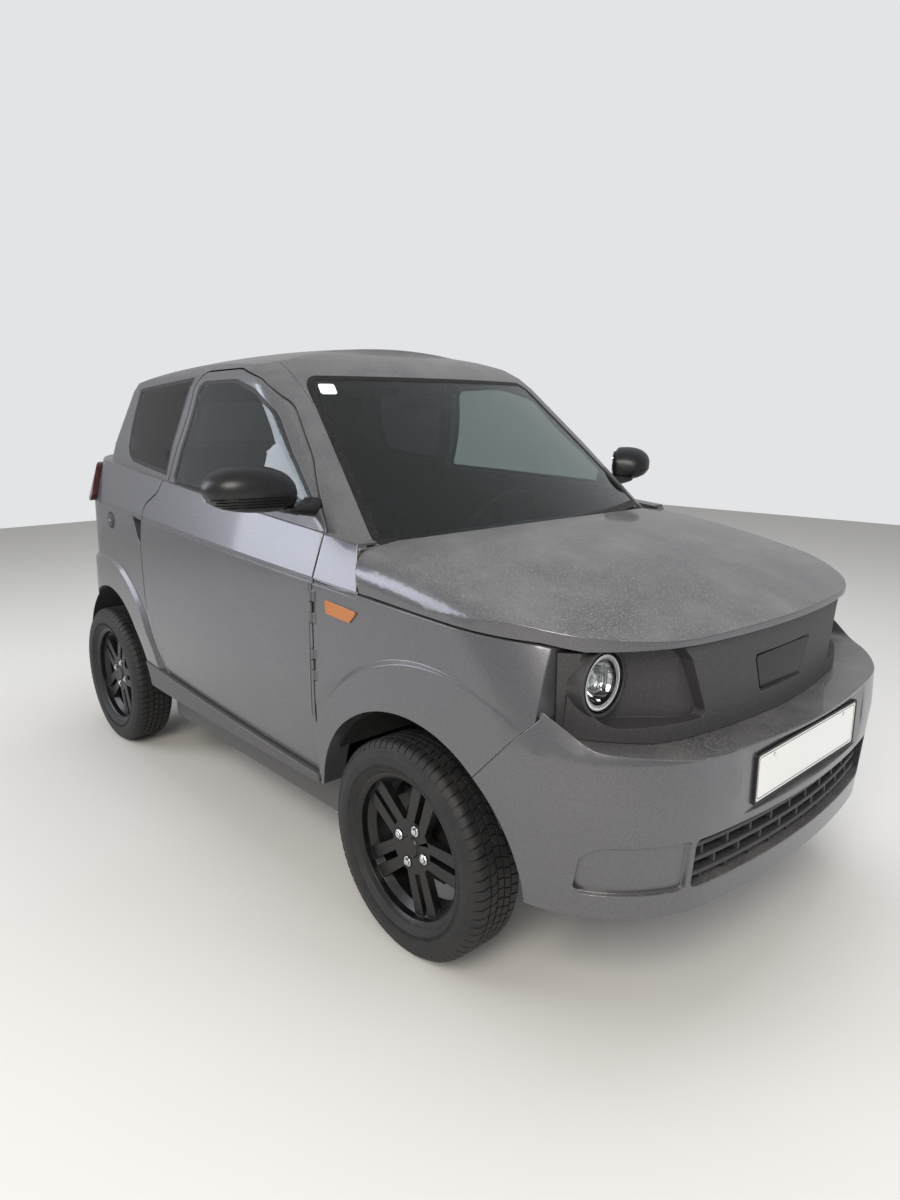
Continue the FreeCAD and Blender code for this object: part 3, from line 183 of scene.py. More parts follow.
def makePlastic(name, colour, roughness, scale, strength, dust="#6b655c", dustShare=0.25, **sockets):
    # Moulded ABS or polypropylene: grain of the mould and a little settled dust
    material, tree, shader, place = startMaterial(name, colour, roughness, **sockets)
    speckle = multiply(tree, noiseBand(tree, place, 180.0, 0.52, 0.72), dustShare)
    feed(tree, shader, Base_Color=mixColour(tree, speckle, colour, dust))
    grain(tree, place, shader, scale, strength)
    return material


def makeGlass(name, tint):  # laminated or toughened pane, tinted through its thickness
    return startMaterial(name, tint, 0.0, Transmission_Weight=1.0, IOR=1.45)[0]


def makeLens(name, colour, ribColour, scale, way):
    # Moulded acrylic lamp lens with optical ribs, 3 mm apart in the side markers and 7 mm in the tail lamps
    acrylic = {"Transmission_Weight": 0.3, "Coat_Weight": 0.7}
    material, tree, shader, place = startMaterial(name, colour, 0.12, **acrylic)
    ribs = addNode(tree, "ShaderNodeTexWave", {"Scale": scale, "Distortion": 0.0},
                   {"Vector": place["Object"]}, bands_direction=way).outputs["Fac"]
    feed(tree, shader, Base_Color=mixColour(tree, ribs, colour, ribColour))
    bump(tree, shader, ribs, 0.5, 0.0008)
    return material


def makeMetal(name, colour, roughness):  # bare or plated metal, duller in patches of 1 to 2 cm
    material, tree, shader, place = startMaterial(name, colour, roughness, 1.0)
    wear = noiseBand(tree, place, 60.0, 0.35, 0.75)
    feed(tree, shader, Roughness=remap(tree, wear, To_Min=roughness * 0.8, To_Max=roughness * 1.5))
    return material


def makeEnamel(name, colour, roughness, dust, dustShare):
    # Satin chassis or wheel enamel, and tyre rubber, with brown road dust in patches
    material, tree, shader, place = startMaterial(name, colour, roughness)
    patches = multiply(tree, noiseBand(tree, place, 28.0, 0.38, 0.78), dustShare)
    feed(tree, shader, Base_Color=mixColour(tree, patches, colour, dust),
         Roughness=remap(tree, patches, To_Min=roughness, To_Max=0.8))
    return material


graphitePaint = makePaint("graphitePaint", "#66666a", 0.62)
doorPaint = makePaint("doorPaint", "#66666a", 0.62, 0.6)
mattePanel = makePlastic("mattePanel", "#39383a", 0.52, 700.0, 0.25)
grainedBlack = makePlastic("grainedBlack", "#161618", 0.5, 900.0, 0.35)
satinBlack = makePlastic("satinBlack", "#131416", 0.36, 900.0, 0.06, "#5f5c57", 0.08)
dashPlastic = makePlastic("dashPlastic", "#232326", 0.6, 800.0, 0.4)
sillPlastic = makePlastic("sillPlastic", "#4a4a4b", 0.45, 700.0, 0.2)
linerFelt = makePlastic("linerFelt", "#111112", 0.85, 300.0, 0.6)
clearGlass = makeGlass("clearGlass", "#a9b3b2")
privacyGlass = makeGlass("privacyGlass", "#2a2c2e")
tyreRubber = makeEnamel("tyreRubber", "#17181a", 0.6, "#4a453f", 0.22)
wheelEnamel = makeEnamel("wheelEnamel", "#0c0d0f", 0.34, "#45403a", 0.14)
chassisEnamel = makeEnamel("chassisEnamel", "#1a1a1b", 0.5, "#4c443a", 0.4)
engineCasting = makeMetal("engineCasting", "#8a8b8c", 0.45)
chromePlate = makeMetal("chromePlate", "#d9dadb", 0.08)
amberLens = makeLens("amberLens", "#b85f06", "#e08a1e", 320 / 3, "X")
redLens = makeLens("redLens", "#5c0d10", "#2a0c08", 140 / 3, "Z")
lampLens = makeGlass("lampLens", "#f2f4f4")
plateWhite = makePlastic("plateWhite", "#e6e6e2", 0.4, 500.0, 0.05, "#b9b3a6", 0.15)
seatCloth = makePlastic("seatCloth", "#2a2b30", 0.9, 1500.0, 0.6)
glossBlack = makePlastic("glossBlack", "#08080a", 0.1, 300.0, 0.02, "#5a554d", 0.1, IOR=1.3)
sealRubber = makePlastic("sealRubber", "#0b0b0c", 0.55, 600.0, 0.15)
lampWhite = startMaterial("lampWhite", "#eef0f2", 0.25, Coat_Weight=0.4)[0]
mirrorSilver = startMaterial("mirrorSilver", "#e8eaec", 0.03, 1.0)[0]
print("materials ready:", len(bpy.data.materials))


def addObject(name, data):
    item = bpy.data.objects.new(name, data)
    scene.collection.objects.link(item)
    return item


def evaluatedMesh(item):
    return bpy.data.meshes.new_from_object(item.evaluated_get(bpy.context.evaluated_depsgraph_get()))


def addPiece(name, mesh, body, material, replaced=()):
    piece = addObject(name, mesh)
    mesh.materials.clear()
    mesh.materials.append(material)
    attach(piece, body)
    if replaced:
        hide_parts(*replaced)
    return piece


def dress(node, material, bevel):  # a CAD node's own mesh with softened edges
    mesh = cadNodes[node].data.copy()
    work = bmesh.new()
    work.from_mesh(mesh)
    bmesh.ops.remove_doubles(work, verts=work.verts, dist=weldDistance)
    bmesh.ops.dissolve_limit(work, angle_limit=math.radians(0.02), verts=work.verts, edges=work.edges)
    work.to_mesh(mesh)
    work.free()
    mesh.shade_smooth()
    mesh.set_sharp_from_angle(angle=math.radians(sharpEdge))
    softEdges(addPiece(node + "_skin", mesh, cadNodes[node]["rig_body"], material, (node,)), bevel)


def shapeMesh(name, work, sharp=35):  # closes up a bmesh and turns its faces outwards
    bmesh.ops.remove_doubles(work, verts=work.verts, dist=weldDistance / 2)
    bmesh.ops.recalc_face_normals(work, faces=work.faces)
    mesh = bpy.data.meshes.new(name)
    work.to_mesh(mesh)
    work.free()
    mesh.shade_smooth()
    mesh.set_sharp_from_angle(angle=math.radians(sharp))
    return mesh


def spot(axis, along, first, second):  # a point by its place along an axis and across it
    return [(along, first, second), (first, along, second), (first, second, along)][axis]


def loft(work, rings, closed=False):  # skin over rings of points, where a ring of one point is a pole
    made = [[work.verts.new(point) for point in ring] for ring in rings]
    pairs = list(zip(made, made[1:])) + ([(made[-1], made[0])] if closed else [])
    steps = max(len(ring) for ring in made)
    for first, second in pairs:
        for step in range(steps):
            after = (step + 1) % steps
            corners = [first[step % len(first)], first[after % len(first)],
                       second[after % len(second)], second[step % len(second)]]
            corners = list(dict.fromkeys(corners))
            if len(corners) > 2:
                work.faces.new(corners)
    return made


def turn(work, profile, centre, axis, steps, closed=False):  # lathe: places along the axis with their radii
    rings = []
    for along, radius in profile:
        count = steps if radius > 0 else 1
        ring = []
        for step in range(count):
            angle = 2 * math.pi * step / count
            offset = spot(axis, along, radius * math.cos(angle), radius * math.sin(angle))
            ring.append([c + o for c, o in zip(centre, offset)])
        rings.append(ring)
    loft(work, rings, closed)


def slab(work, outline, axis, low, high):  # an outline with a thickness
    rings = [[spot(axis, along, *point) for point in outline] for along in (low, high)]
    for ring in loft(work, rings):
        work.faces.new(ring)


def turnMesh(name, profile, centre, axis, steps, closed=False, sharp=35):
    work = bmesh.new()
    turn(work, profile, centre, axis, steps, closed)
    return shapeMesh(name, work, sharp)


def slabMesh(name, outline, axis, low, high):
    work = bmesh.new()
    slab(work, outline, axis, low, high)
    return shapeMesh(name, work)


def rectangle(low, high, bottom, top):  # its corners as an outline
    return [(low, bottom), (high, bottom), (high, top), (low, top)]


def roundOutline(corners, radius, steps=6):  # a polygon with rounded corners
    points = []
    for index, corner in enumerate(corners):
        corner = Vector(corner)
        before = (Vector(corners[index - 1]) - corner).normalized()
        after = (Vector(corners[(index + 1) % len(corners)]) - corner).normalized()
        half = before.angle(after) / 2
        centre = corner + (before + after).normalized() * radius / math.sin(half)
        start = corner + before * radius / math.tan(half) - centre
        end = corner + after * radius / math.tan(half) - centre
        for step in range(steps + 1):
            points.append(tuple(centre + start.lerp(end, step / steps).normalized() * radius))
    return points


def ringSlab(work, outer, inner, axis, low, high):  # a frame between two outlines of as many points
    rings = [[spot(axis, along, *point) for point in outline]
             for outline, along in ((outer, low), (outer, high), (inner, high), (inner, low))]
    loft(work, rings, closed=True)


def surfaceOf(node, facing=None):  # search tree over a node's faces, or only those that face one way
    mesh = cadNodes[node].data
    faces = [tuple(face.vertices) for face in mesh.polygons
             if facing is None or face.normal.dot(Vector(facing).normalized()) > 0.3]
    return BVHTree.FromPolygons([vertex.co for vertex in mesh.vertices], faces)


# Trees for what repeats

def startTree(name, sockets):
    tree = bpy.data.node_groups.new(name, "GeometryNodeTree")
    tree.interface.new_socket("Geometry", in_out="OUTPUT", socket_type="NodeSocketGeometry")
    tree.interface.new_socket("Geometry", in_out="INPUT", socket_type="NodeSocketGeometry")
    for label, kind in sockets.items():
        tree.interface.new_socket(label, in_out="INPUT", socket_type="NodeSocket" + kind)
    tree.interface.new_socket("Finish", in_out="INPUT", socket_type="NodeSocketMaterial")
    return tree, addNode(tree, "NodeGroupInput").outputs


def endTree(tree, given, geometry):
    solid = addNode(tree, "GeometryNodeRealizeInstances", links={"Geometry": geometry})
    finished = addNode(tree, "GeometryNodeSetMaterial",
                       links={"Geometry": solid.outputs[0], "Material": given["Finish"]})
    addNode(tree, "NodeGroupOutput", links={"Geometry": finished.outputs[0]})
    return tree


def makeAroundTree():  # copies of one shape around the axle line, which runs along Y
    tree, given = startTree("aroundAxle", {"Count": "Int", "Centre": "Vector", "First Angle": "Float"})
    points = addNode(tree, "GeometryNodePoints", links={"Count": given["Count"]})
    index = addNode(tree, "GeometryNodeInputIndex")
    share = addNode(tree, "ShaderNodeMath", links={0: index.outputs[0], 1: given["Count"]},
                    operation="DIVIDE")
    angle = addNode(tree, "ShaderNodeMath", {1: 2 * math.pi}, {0: share.outputs[0], 2: given["First Angle"]},
                    operation="MULTIPLY_ADD")
    spin = addNode(tree, "ShaderNodeCombineXYZ", links={"Y": angle.outputs[0]})
    turned = addNode(tree, "FunctionNodeEulerToRotation", links={"Euler": spin.outputs[0]})
    copies = addNode(tree, "GeometryNodeInstanceOnPoints", links={
        "Points": points.outputs[0], "Instance": given["Geometry"], "Rotation": turned.outputs[0]})
    moved = addNode(tree, "GeometryNodeTransform",
                    links={"Geometry": copies.outputs[0], "Translation": given["Centre"]})
    return endTree(tree, given, moved.outputs[0])


def inRow(tree, count, step, shape):  # copies of a shape, each one step on from the last
    index = addNode(tree, "GeometryNodeInputIndex")
    place = addNode(tree, "ShaderNodeVectorMath", links={0: step, "Scale": index.outputs[0]},
                    operation="SCALE").outputs[0]
    points = addNode(tree, "GeometryNodePoints", links={"Count": count, "Position": place}).outputs[0]
    copies = addNode(tree, "GeometryNodeInstanceOnPoints", links={"Points": points, "Instance": shape})
    return copies.outputs[0]


def makeRowTree():
    tree, given = startTree("inRow", {"Count": "Int", "Step": "Vector"})
    return endTree(tree, given, inRow(tree, given["Count"], given["Step"], given["Geometry"]))


def makeSweepTree():  # bars of one section along a line of edges, one above the other
    tree, given = startTree("sweptBars", {"Rows": "Int", "Pitch": "Vector", "Deep": "Float", "High": "Float"})
    line = addNode(tree, "GeometryNodeMeshToCurve", links={"Mesh": given["Geometry"]})
    upright = addNode(tree, "GeometryNodeSetCurveNormal", links={"Curve": line.outputs[0]}, mode="Z_UP")
    section = addNode(tree, "GeometryNodeCurvePrimitiveQuadrilateral",
                      links={"Width": given["Deep"], "Height": given["High"]})
    bar = addNode(tree, "GeometryNodeCurveToMesh", {"Fill Caps": True},
                  {"Curve": upright.outputs[0], "Profile Curve": section.outputs[0]})
    return endTree(tree, given, inRow(tree, given["Rows"], given["Pitch"], bar.outputs[0]))


aroundTree, rowTree, sweepTree = makeAroundTree(), makeRowTree(), makeSweepTree()


def repeatShape(name, mesh, tree, values, body, material, bevel=0.0):
    seed = addObject(name + "_seed", mesh)
    modifier = seed.modifiers.new("repeat", "NODES")
    modifier.node_group = tree
    given = {**values, "Finish": material}
    for item in tree.interface.items_tree:
        if item.in_out == "INPUT" and item.name in given:
            modifier[item.identifier] = given[item.name]
    bpy.context.view_layer.update()
    result = evaluatedMesh(seed)
    bpy.data.objects.remove(seed)
    result.name = name
    piece = addPiece(name, result, body, material)
    if bevel:
        softEdges(piece, bevel)
    return piece


def rounded(piece):
    smooth = piece.modifiers.new("rounded", "SUBSURF")
    smooth.levels = smooth.render_levels = 1
    return piece


def softEdges(piece, width, segments=2):
    if width:
        modifier = piece.modifiers.new("edges", "BEVEL")
        modifier.width = width
        modifier.segments = segments
        modifier.limit_method = "ANGLE"
        modifier.angle_limit = math.radians(sharpEdge)
        modifier.use_clamp_overlap = False
    weigh = piece.modifiers.new("normals", "WEIGHTED_NORMAL")
    weigh.keep_sharp = True


def sweepLine(name, points, deep, high, body, material, rows=1, pitch=0.0, bevel=0.0):  # bars along a line
    mesh = bpy.data.meshes.new(name + "_line")
    mesh.from_pydata([tuple(point) for point in points], [(i, i + 1) for i in range(len(points) - 1)], [])
    values = {"Rows": rows, "Pitch": (0, 0, pitch), "Deep": deep, "High": high}
    return repeatShape(name, mesh, sweepTree, values, body, material, bevel=bevel)


# Panels: each CAD node's own mesh in its finish, with its edges softened by the width beside it

painted = ("roof", "bonnet", "tailgate", "front_bumper", "rear_bumper", "body_side_right", "body_side_left",
           "fender_right", "fender_left", "door_right", "door_left")
looks = {node: (doorPaint if node.startswith("door") else graphitePaint, 0.0018) for node in painted}
looks.update({
    "lamp_panel": (mattePanel, 0.002), "scuttle": (grainedBlack, 0.001),
    "dashboard": (dashPlastic, 0.004), "steering_wheel": (grainedBlack, 0.001), "wiper": (grainedBlack, 0.001),
    "arch_liners": (linerFelt, 0.0), "inner_mirror": (grainedBlack, 0.004), "sills": (sillPlastic, 0.004),
    "tail_lamps": (redLens, 0.002), "side_markers": (amberLens, 0.001), "front_plate": (plateWhite, 0.001),
    "floor_pan": (chassisEnamel, 0.002), "engine_block": (engineCasting, 0.01),
    "front_subframe": (chassisEnamel, 0.002), "rear_axle": (chassisEnamel, 0.001),
    "knuckle_right": (chassisEnamel, 0.001), "knuckle_left": (chassisEnamel, 0.001),
    "windscreen": (clearGlass, 0.0), "door_glass_right": (clearGlass, 0.0),
    "door_glass_left": (clearGlass, 0.0), "quarter_glass": (privacyGlass, 0.0),
    "tailgate_glass": (privacyGlass, 0.0),
})
for end in ("front", "rear"):
    for side in sides:
        looks["rim_%s_%s" % (end, side)] = (wheelEnamel, 0.0012)
for node, (material, bevel) in looks.items():
    dress(node, material, bevel)
print("panels dressed")

# Wheels: carcass turned on the lathe, tread blocks and wheel nuts around the axle

tyreLook = {"mid": 0.6675, "height": 0.283, "front": 0.805, "rear": -1.125, "blocks": 70, "blockShare": 0.86,
            "ribs": 168, "nuts": 4, "nutRing": 0.050, "nutTurn": 18}
carcass = [  # from inside the bead up to the tread: place across and radius
    (-0.050, 0.1905), (0.050, 0.1905), (0.0605, 0.1960), (0.0675, 0.2030), (0.0705, 0.2085), (0.0742, 0.2105),
    (0.0748, 0.2135), (0.0752, 0.2200), (0.0768, 0.2330), (0.0766, 0.2420), (0.0752, 0.2500), (0.0745, 0.2508),
    (0.0742, 0.2530), (0.0715, 0.2630), (0.0665, 0.2705), (0.0600, 0.2755), (0.0520, 0.2775), (0.0300, 0.2780)]
carcass = [(-along, radius) for along, radius in reversed(carcass[2:])] + carcass
blockRows = [  # outline in width and radius, and the lean round the tyre in radians per metre of width
    ([(0.0345, 0.2826), (0.0480, 0.2826), (0.0575, 0.2812), (0.0655, 0.2752), (0.0722, 0.2655),
      (0.0705, 0.2615), (0.0600, 0.2700), (0.0345, 0.2740)], 0.6),
    ([(0.0125, 0.2829), (0.0305, 0.2828), (0.0305, 0.2740), (0.0125, 0.2740)], 1.2),
    ([(-0.0085, 0.2829), (0.0085, 0.2829), (0.0085, 0.2740), (-0.0085, 0.2740)], 0.0),
    ([(-0.0305, 0.2828), (-0.0125, 0.2829), (-0.0125, 0.2740), (-0.0305, 0.2740)], -1.2),
    ([(-0.0345, 0.2740), (-0.0600, 0.2700), (-0.0705, 0.2615), (-0.0722, 0.2655), (-0.0655, 0.2752),
      (-0.0575, 0.2812), (-0.0480, 0.2826), (-0.0345, 0.2826)], -0.6),
]
nutTurns = [  # six-sided head and round collar: place along the axle and radius, number of sides
    ([(0.024, 0.0), (0.024, 0.0105), (0.0385, 0.0105), (0.0415, 0.0085), (0.0425, 0.0)], 6),
    ([(0.030, 0.0), (0.030, 0.0135), (0.0365, 0.0135), (0.0365, 0.0)], 24),
]
nutPocket = [(0.030, 0.0150), (0.0372, 0.0152), (0.0378, 0.0165), (0.0372, 0.0182), (0.030, 0.0188)]
wheelCap = [(0.030, 0.0), (0.030, 0.0272), (0.0378, 0.0272), (0.0388, 0.0262), (0.0388, 0.0235),
            (0.0380, 0.0228), (0.0388, 0.0220), (0.0400, 0.0120), (0.0404, 0.0)]


def blockMesh():
    work = bmesh.new()
    span = tyreLook["blockShare"] * math.pi / tyreLook["blocks"]
    for outline, lean in blockRows:
        rings = []
        for end in (-1, 1):
            angles = [end * span + lean * along for along, radius in outline]
            rings.append([(radius * math.sin(angle), along, radius * math.cos(angle))
                          for angle, (along, radius) in zip(angles, outline)])
        for ring in loft(work, rings):
            work.faces.new(ring)
    return shapeMesh("treadBlock", work)


def sided(profile, way):  # a profile turned towards its own side of the car
    return [(way * along, radius) for along, radius in profile]


def nutMesh(way):
    work = bmesh.new()
    for profile, steps in nutTurns:
        turn(work, sided(profile, way), (0, 0, tyreLook["nutRing"]), 1, steps)
    return shapeMesh("wheelNut", work)


for end in ("front", "rear"):
    for side, way in sides.items():
        name = "%s_%s" % (end, side)
        body = "wheel_" + name
        centre = (tyreLook[end], way * tyreLook["mid"], tyreLook["height"])
        tyreMesh = turnMesh("carcass", carcass, centre, 1, 144, closed=True, sharp=60)
        addPiece("tyre_%s_carcass" % name, tyreMesh, body, tyreRubber, ("tyre_" + name,))
        around = {"Count": tyreLook["blocks"], "Centre": centre, "First Angle": 0.0}
        repeatShape("tyre_%s_tread" % name, blockMesh(), aroundTree, around, body, tyreRubber, bevel=0.0006)
        # fine ribs round the sidewall, at the rim edge
        around["Count"] = tyreLook["ribs"]
        ribOutline = rectangle(-0.0011, 0.0011, 0.2135, 0.2235)
        rib = slabMesh("sidewallRib", ribOutline, 1, way * 0.0740, way * 0.0764)
        repeatShape("tyre_%s_ribs" % name, rib, aroundTree, around, body, tyreRubber)
        # nuts, each in a pocket with a raised lip
        around.update({"Count": tyreLook["nuts"], "First Angle": math.radians(tyreLook["nutTurn"])})
        repeatShape("wheel_nuts_" + name, nutMesh(way), aroundTree, around, body, chromePlate, bevel=0.0006)
        lip = turnMesh("nutPocket", sided(nutPocket, way), (0, 0, tyreLook["nutRing"]), 1, 28, closed=True)
        repeatShape("nut_pockets_" + name, lip, aroundTree, around, body, wheelEnamel)
        capMesh = turnMesh("wheelCap", sided(wheelCap, way), centre, 1, 48, sharp=30)
        addPiece("wheel_cap_" + name, capMesh, body, glossBlack)
print("wheels ready")

# Round headlamps: chrome bowl, white ring and projector behind a clear lens

lampLook = {"face": 1.245, "aside": 0.528, "height": 0.784, "finAside": 0.031125, "finHalf": 0.0005,
            "finTall": 0.032, "finBack": 0.030, "finFront": 0.018}
lampShells = {  # piece: material, closed profile of place along X from the face and radius
    "headlamp_bowl": (chromePlate, [
        (-0.046, 0.0), (-0.0445, 0.020), (-0.040, 0.030), (-0.026, 0.042), (-0.009, 0.0485), (-0.009, 0.0665),
        (-0.049, 0.0665), (-0.049, 0.0)]),
    "headlamp_ring": (lampWhite, [
        (-0.010, 0.0500), (-0.004, 0.0505), (-0.0005, 0.0540), (0.0005, 0.0580), (-0.001, 0.0612),
        (-0.010, 0.0625)]),
    "headlamp_bezel": (glossBlack, [
        (-0.010, 0.0622), (0.0030, 0.0628), (0.0048, 0.0645), (0.0040, 0.0662), (-0.012, 0.0666)]),
    "headlamp_collar": (glossBlack, [
        (-0.012, 0.0440), (-0.0085, 0.0450), (-0.0050, 0.0480), (-0.0050, 0.0498), (-0.012, 0.0502)]),
    "headlamp_shade": (chromePlate, [
        (-0.042, 0.0215), (-0.022, 0.0225), (-0.019, 0.0245), (-0.020, 0.0262), (-0.042, 0.0262)]),
    "headlamp_projector": (lampLens, [
        (-0.040, 0.0), (-0.040, 0.0212), (-0.024, 0.0212), (-0.017, 0.0160), (-0.0135, 0.0080),
        (-0.0125, 0.0)]),
    "headlamp_lens": (lampLens, [
        (0.0015, 0.0), (0.0010, 0.0300), (-0.0005, 0.0500), (-0.0035, 0.0620), (-0.0015, 0.0632),
        (0.0020, 0.0500), (0.0050, 0.0300), (0.0060, 0.0)]),
}
for side, way in sides.items():
    centre = (lampLook["face"], way * lampLook["aside"], lampLook["height"])
    for name, (material, profile) in lampShells.items():
        shell = turnMesh(name, profile, centre, 0, 72, closed=profile[0][1] > 0, sharp=40)
        replaced = ("headlamps",) if name == "headlamp_bowl" else ()
        addPiece("%s_%s" % (name, side), shell, "body", material, replaced)
    # upright ribs in the chrome bowl, beside the projector
    finMiddle = centre[1] - lampLook["finAside"]
    finOutline = rectangle(finMiddle - lampLook["finHalf"], finMiddle + lampLook["finHalf"],
                           centre[2] - lampLook["finTall"], centre[2] + lampLook["finTall"])
    fin = slabMesh("fin", finOutline, 0, centre[0] - lampLook["finBack"], centre[0] - lampLook["finFront"])
    apart = {"Count": 2, "Step": (0, 0.0625, 0)}
    repeatShape("headlamp_fins_" + side, fin, rowTree, apart, "body", chromePlate, bevel=0.0004)
print("headlamps ready")

# Lower grille: swept slats in front of a black back plate, with short uprights between them

grilleLook = {"half": 0.432, "low": 0.3490, "high": 0.4560, "slats": 3, "first": 0.3665, "pitch": 0.0340,
              "deep": 0.024, "thick": 0.0115, "posts": 10, "postBack": 0.030, "postFront": 0.004,
              "postHalf": 0.0035}
grilleFace = surfaceOf("lower_grille")


def grilleFront(y):  # how far forward the grille stands at a place across
    reach = [grilleFace.ray_cast(Vector((2, y, z)), Vector((-1, 0, 0))) for z in (0.352, 0.403, 0.408)]
    return max(hit[0].x for hit in reach if hit[0])


across = [grilleLook["half"] * (2 * step / 40 - 1) for step in range(41)]
front = [grilleFront(y * 0.985) for y in across]
backOutline = rectangle(0.045, 0.040, grilleLook["low"] - 0.004, grilleLook["high"] + 0.004)
work = bmesh.new()
for ring in loft(work, [[(x - back, y, z) for back, z in backOutline] for y, x in zip(across, front)])[::40]:
    work.faces.new(ring)
addPiece("grille_back", shapeMesh("grilleBack", work), "body", linerFelt, ("lower_grille",))
slatLine = [(x - grilleLook["deep"] / 2, y, grilleLook["first"]) for y, x in zip(across, front)]
sweepLine("grille_slats", slatLine, grilleLook["deep"], grilleLook["thick"], "body", mattePanel,
          grilleLook["slats"], grilleLook["pitch"], 0.003)
gap, spacing = grilleLook["pitch"] / 2, 2 * grilleLook["half"] / grilleLook["posts"]
for row in range(grilleLook["slats"] + 1):
    height = grilleLook["first"] + (row - 0.5) * grilleLook["pitch"]
    low, high = max(height - gap, grilleLook["low"] - 0.002), min(height + gap, grilleLook["high"] + 0.002)
    for post in range(grilleLook["posts"] + row % 2):
        y = -grilleLook["half"] + spacing * (post + (0.0 if row % 2 else 0.5))
        if abs(y) > grilleLook["half"] - 0.01:
            continue
        x = grilleFront(y)
        outline = rectangle(x - grilleLook["postBack"], x - grilleLook["postFront"],
                            y - grilleLook["postHalf"], y + grilleLook["postHalf"])
        upright = slabMesh("post", outline, 2, low, high)
        softEdges(addPiece("grille_post_%d_%d" % (row, post), upright, "body", mattePanel), 0.001)
print("grille ready")

# Number plate: blank, with a printed edge line, in a holder, and the glossy blank between the lamps

plateLook = {"x": 1.4709, "middle": 0.552, "half": 0.260, "tall": 0.056, "lineIn": 0.006, "screwAside": 0.185,
             "screwUp": 0.0405}


def boxOutline(halfWide, halfTall, middle, radius):
    return roundOutline(rectangle(-halfWide, halfWide, middle - halfTall, middle + halfTall), radius)


def plateFrame(name, body, middle, wide, tall, low, high, band, material):
    work = bmesh.new()
    inner = boxOutline(wide - band, tall - band, middle, 0.0085)
    ringSlab(work, boxOutline(wide, tall, middle, 0.010), inner, 0, low, high)
    return addPiece(name, shapeMesh(name, work), body, material)


def plateLine(name, body, middle, low):  # printed edge line, a little in from the plate's edge
    wide, tall = plateLook["half"] - plateLook["lineIn"], plateLook["tall"] - plateLook["lineIn"]
    plateFrame(name, body, middle, wide, tall, low, low + 0.0005, 0.0016, glossBlack)


x, middle = plateLook["x"], plateLook["middle"]
low, high = x - 0.012, x + 0.0018
softEdges(plateFrame("plate_holder", "body", middle, 0.2655, 0.0615, low, high, 0.0065, grainedBlack), 0.001)
plateLine("plate_line", "body", middle, x - 0.0002)
screwTurn = [(-0.002, 0.0), (-0.002, 0.0050), (0.0010, 0.0050), (0.0018, 0.0030), (0.0018, 0.0)]
place = (x, -plateLook["screwAside"], middle + plateLook["screwUp"])
screw = turnMesh("plateScrew", screwTurn, place, 0, 20)
apart = {"Count": 2, "Step": (0, 2 * plateLook["screwAside"], 0)}
repeatShape("plate_screws", screw, rowTree, apart, "body", chromePlate)

blankLook = {"top": 0.1345, "foot": 0.1000, "low": 0.7035, "high": 0.7935, "corner": 0.010, "proud": 0.0035}
panelFace = surfaceOf("lamp_panel")
outline = roundOutline([(-blankLook["foot"], blankLook["low"]), (blankLook["foot"], blankLook["low"]),
                        (blankLook["top"], blankLook["high"]), (-blankLook["top"], blankLook["high"])],
                       blankLook["corner"])
rays = [Vector((2, y, 0.75)) for y in (-0.11, -0.05, 0, 0.05, 0.11)]
floors = [panelFace.ray_cast(start, Vector((-1, 0, 0)))[0].x for start in rays]
blank = slabMesh("middleBlank", outline, 0, min(floors) - 0.001, max(floors) + blankLook["proud"])
softEdges(addPiece("middle_blank", blank, "body", glossBlack), 0.0022, 3)
print("plate and blank ready")

# Window borders: printed edge and rubber lip that follow each pane

borders = {  # pane: body, way out of each of its panes, width of the border
    "windscreen": ("body", [(0.5, 0, 0.86)], 0.024), "tailgate_glass": ("tailgate", [(-1, 0, 0.4)], 0.020),
    "quarter_glass": ("body", [(0, -1, 0.25), (0, 1, 0.25)], 0.014),
    "door_glass_right": ("door_right", [(0, -1, 0.3)], 0.013),
    "door_glass_left": ("door_left", [(0, 1, 0.3)], 0.013),
}
borderLook = {"step": 0.008, "crease": 22, "facing": 0.6, "longEnough": 0.7, "smoothing": 6}
beltLook = {"reach": 0.16, "rear": -0.49, "front": 0.30, "top": 1.14, "apart": 0.006, "out": 0.0035,
            "down": 0.004, "deep": 0.007, "high": 0.014}


def paneLoop(node, outward):  # the outer edge loop of a pane: its longest sharp loop on the way out
    work = bmesh.new()
    work.from_mesh(cadNodes[node].data)
    bmesh.ops.remove_doubles(work, verts=work.verts, dist=weldDistance)
    outward = Vector(outward).normalized()
    nextTo = {}
    for edge in work.edges:
        if len(edge.link_faces) == 2 and edge.calc_face_angle() > math.radians(borderLook["crease"]):
            if max(face.normal.dot(outward) for face in edge.link_faces) > borderLook["facing"]:
                first, second = edge.verts
                nextTo.setdefault(first, []).append(second)
                nextTo.setdefault(second, []).append(first)
    groups, waiting = [], dict.fromkeys(nextTo)  # keeps the order, so that each run starts at one place
    while waiting:
        loop, before = [next(iter(waiting))], None
        while True:
            options = [vertex for vertex in nextTo[loop[-1]] if vertex is not before and vertex in waiting]
            before = loop[-1]
            waiting.pop(before, None)
            if not options:
                break
            loop.append(options[0])
        points = [vertex.co.copy() for vertex in loop]
        around = sum((second - first).length for first, second in zip(points, points[1:]))
        groups.append((around, sum(point.dot(outward) for point in points) / len(points), points))
    work.free()
    longEnough = max(group[0] for group in groups) * borderLook["longEnough"]
    return max((group for group in groups if group[0] > longEnough), key=lambda group: group[1])[2]


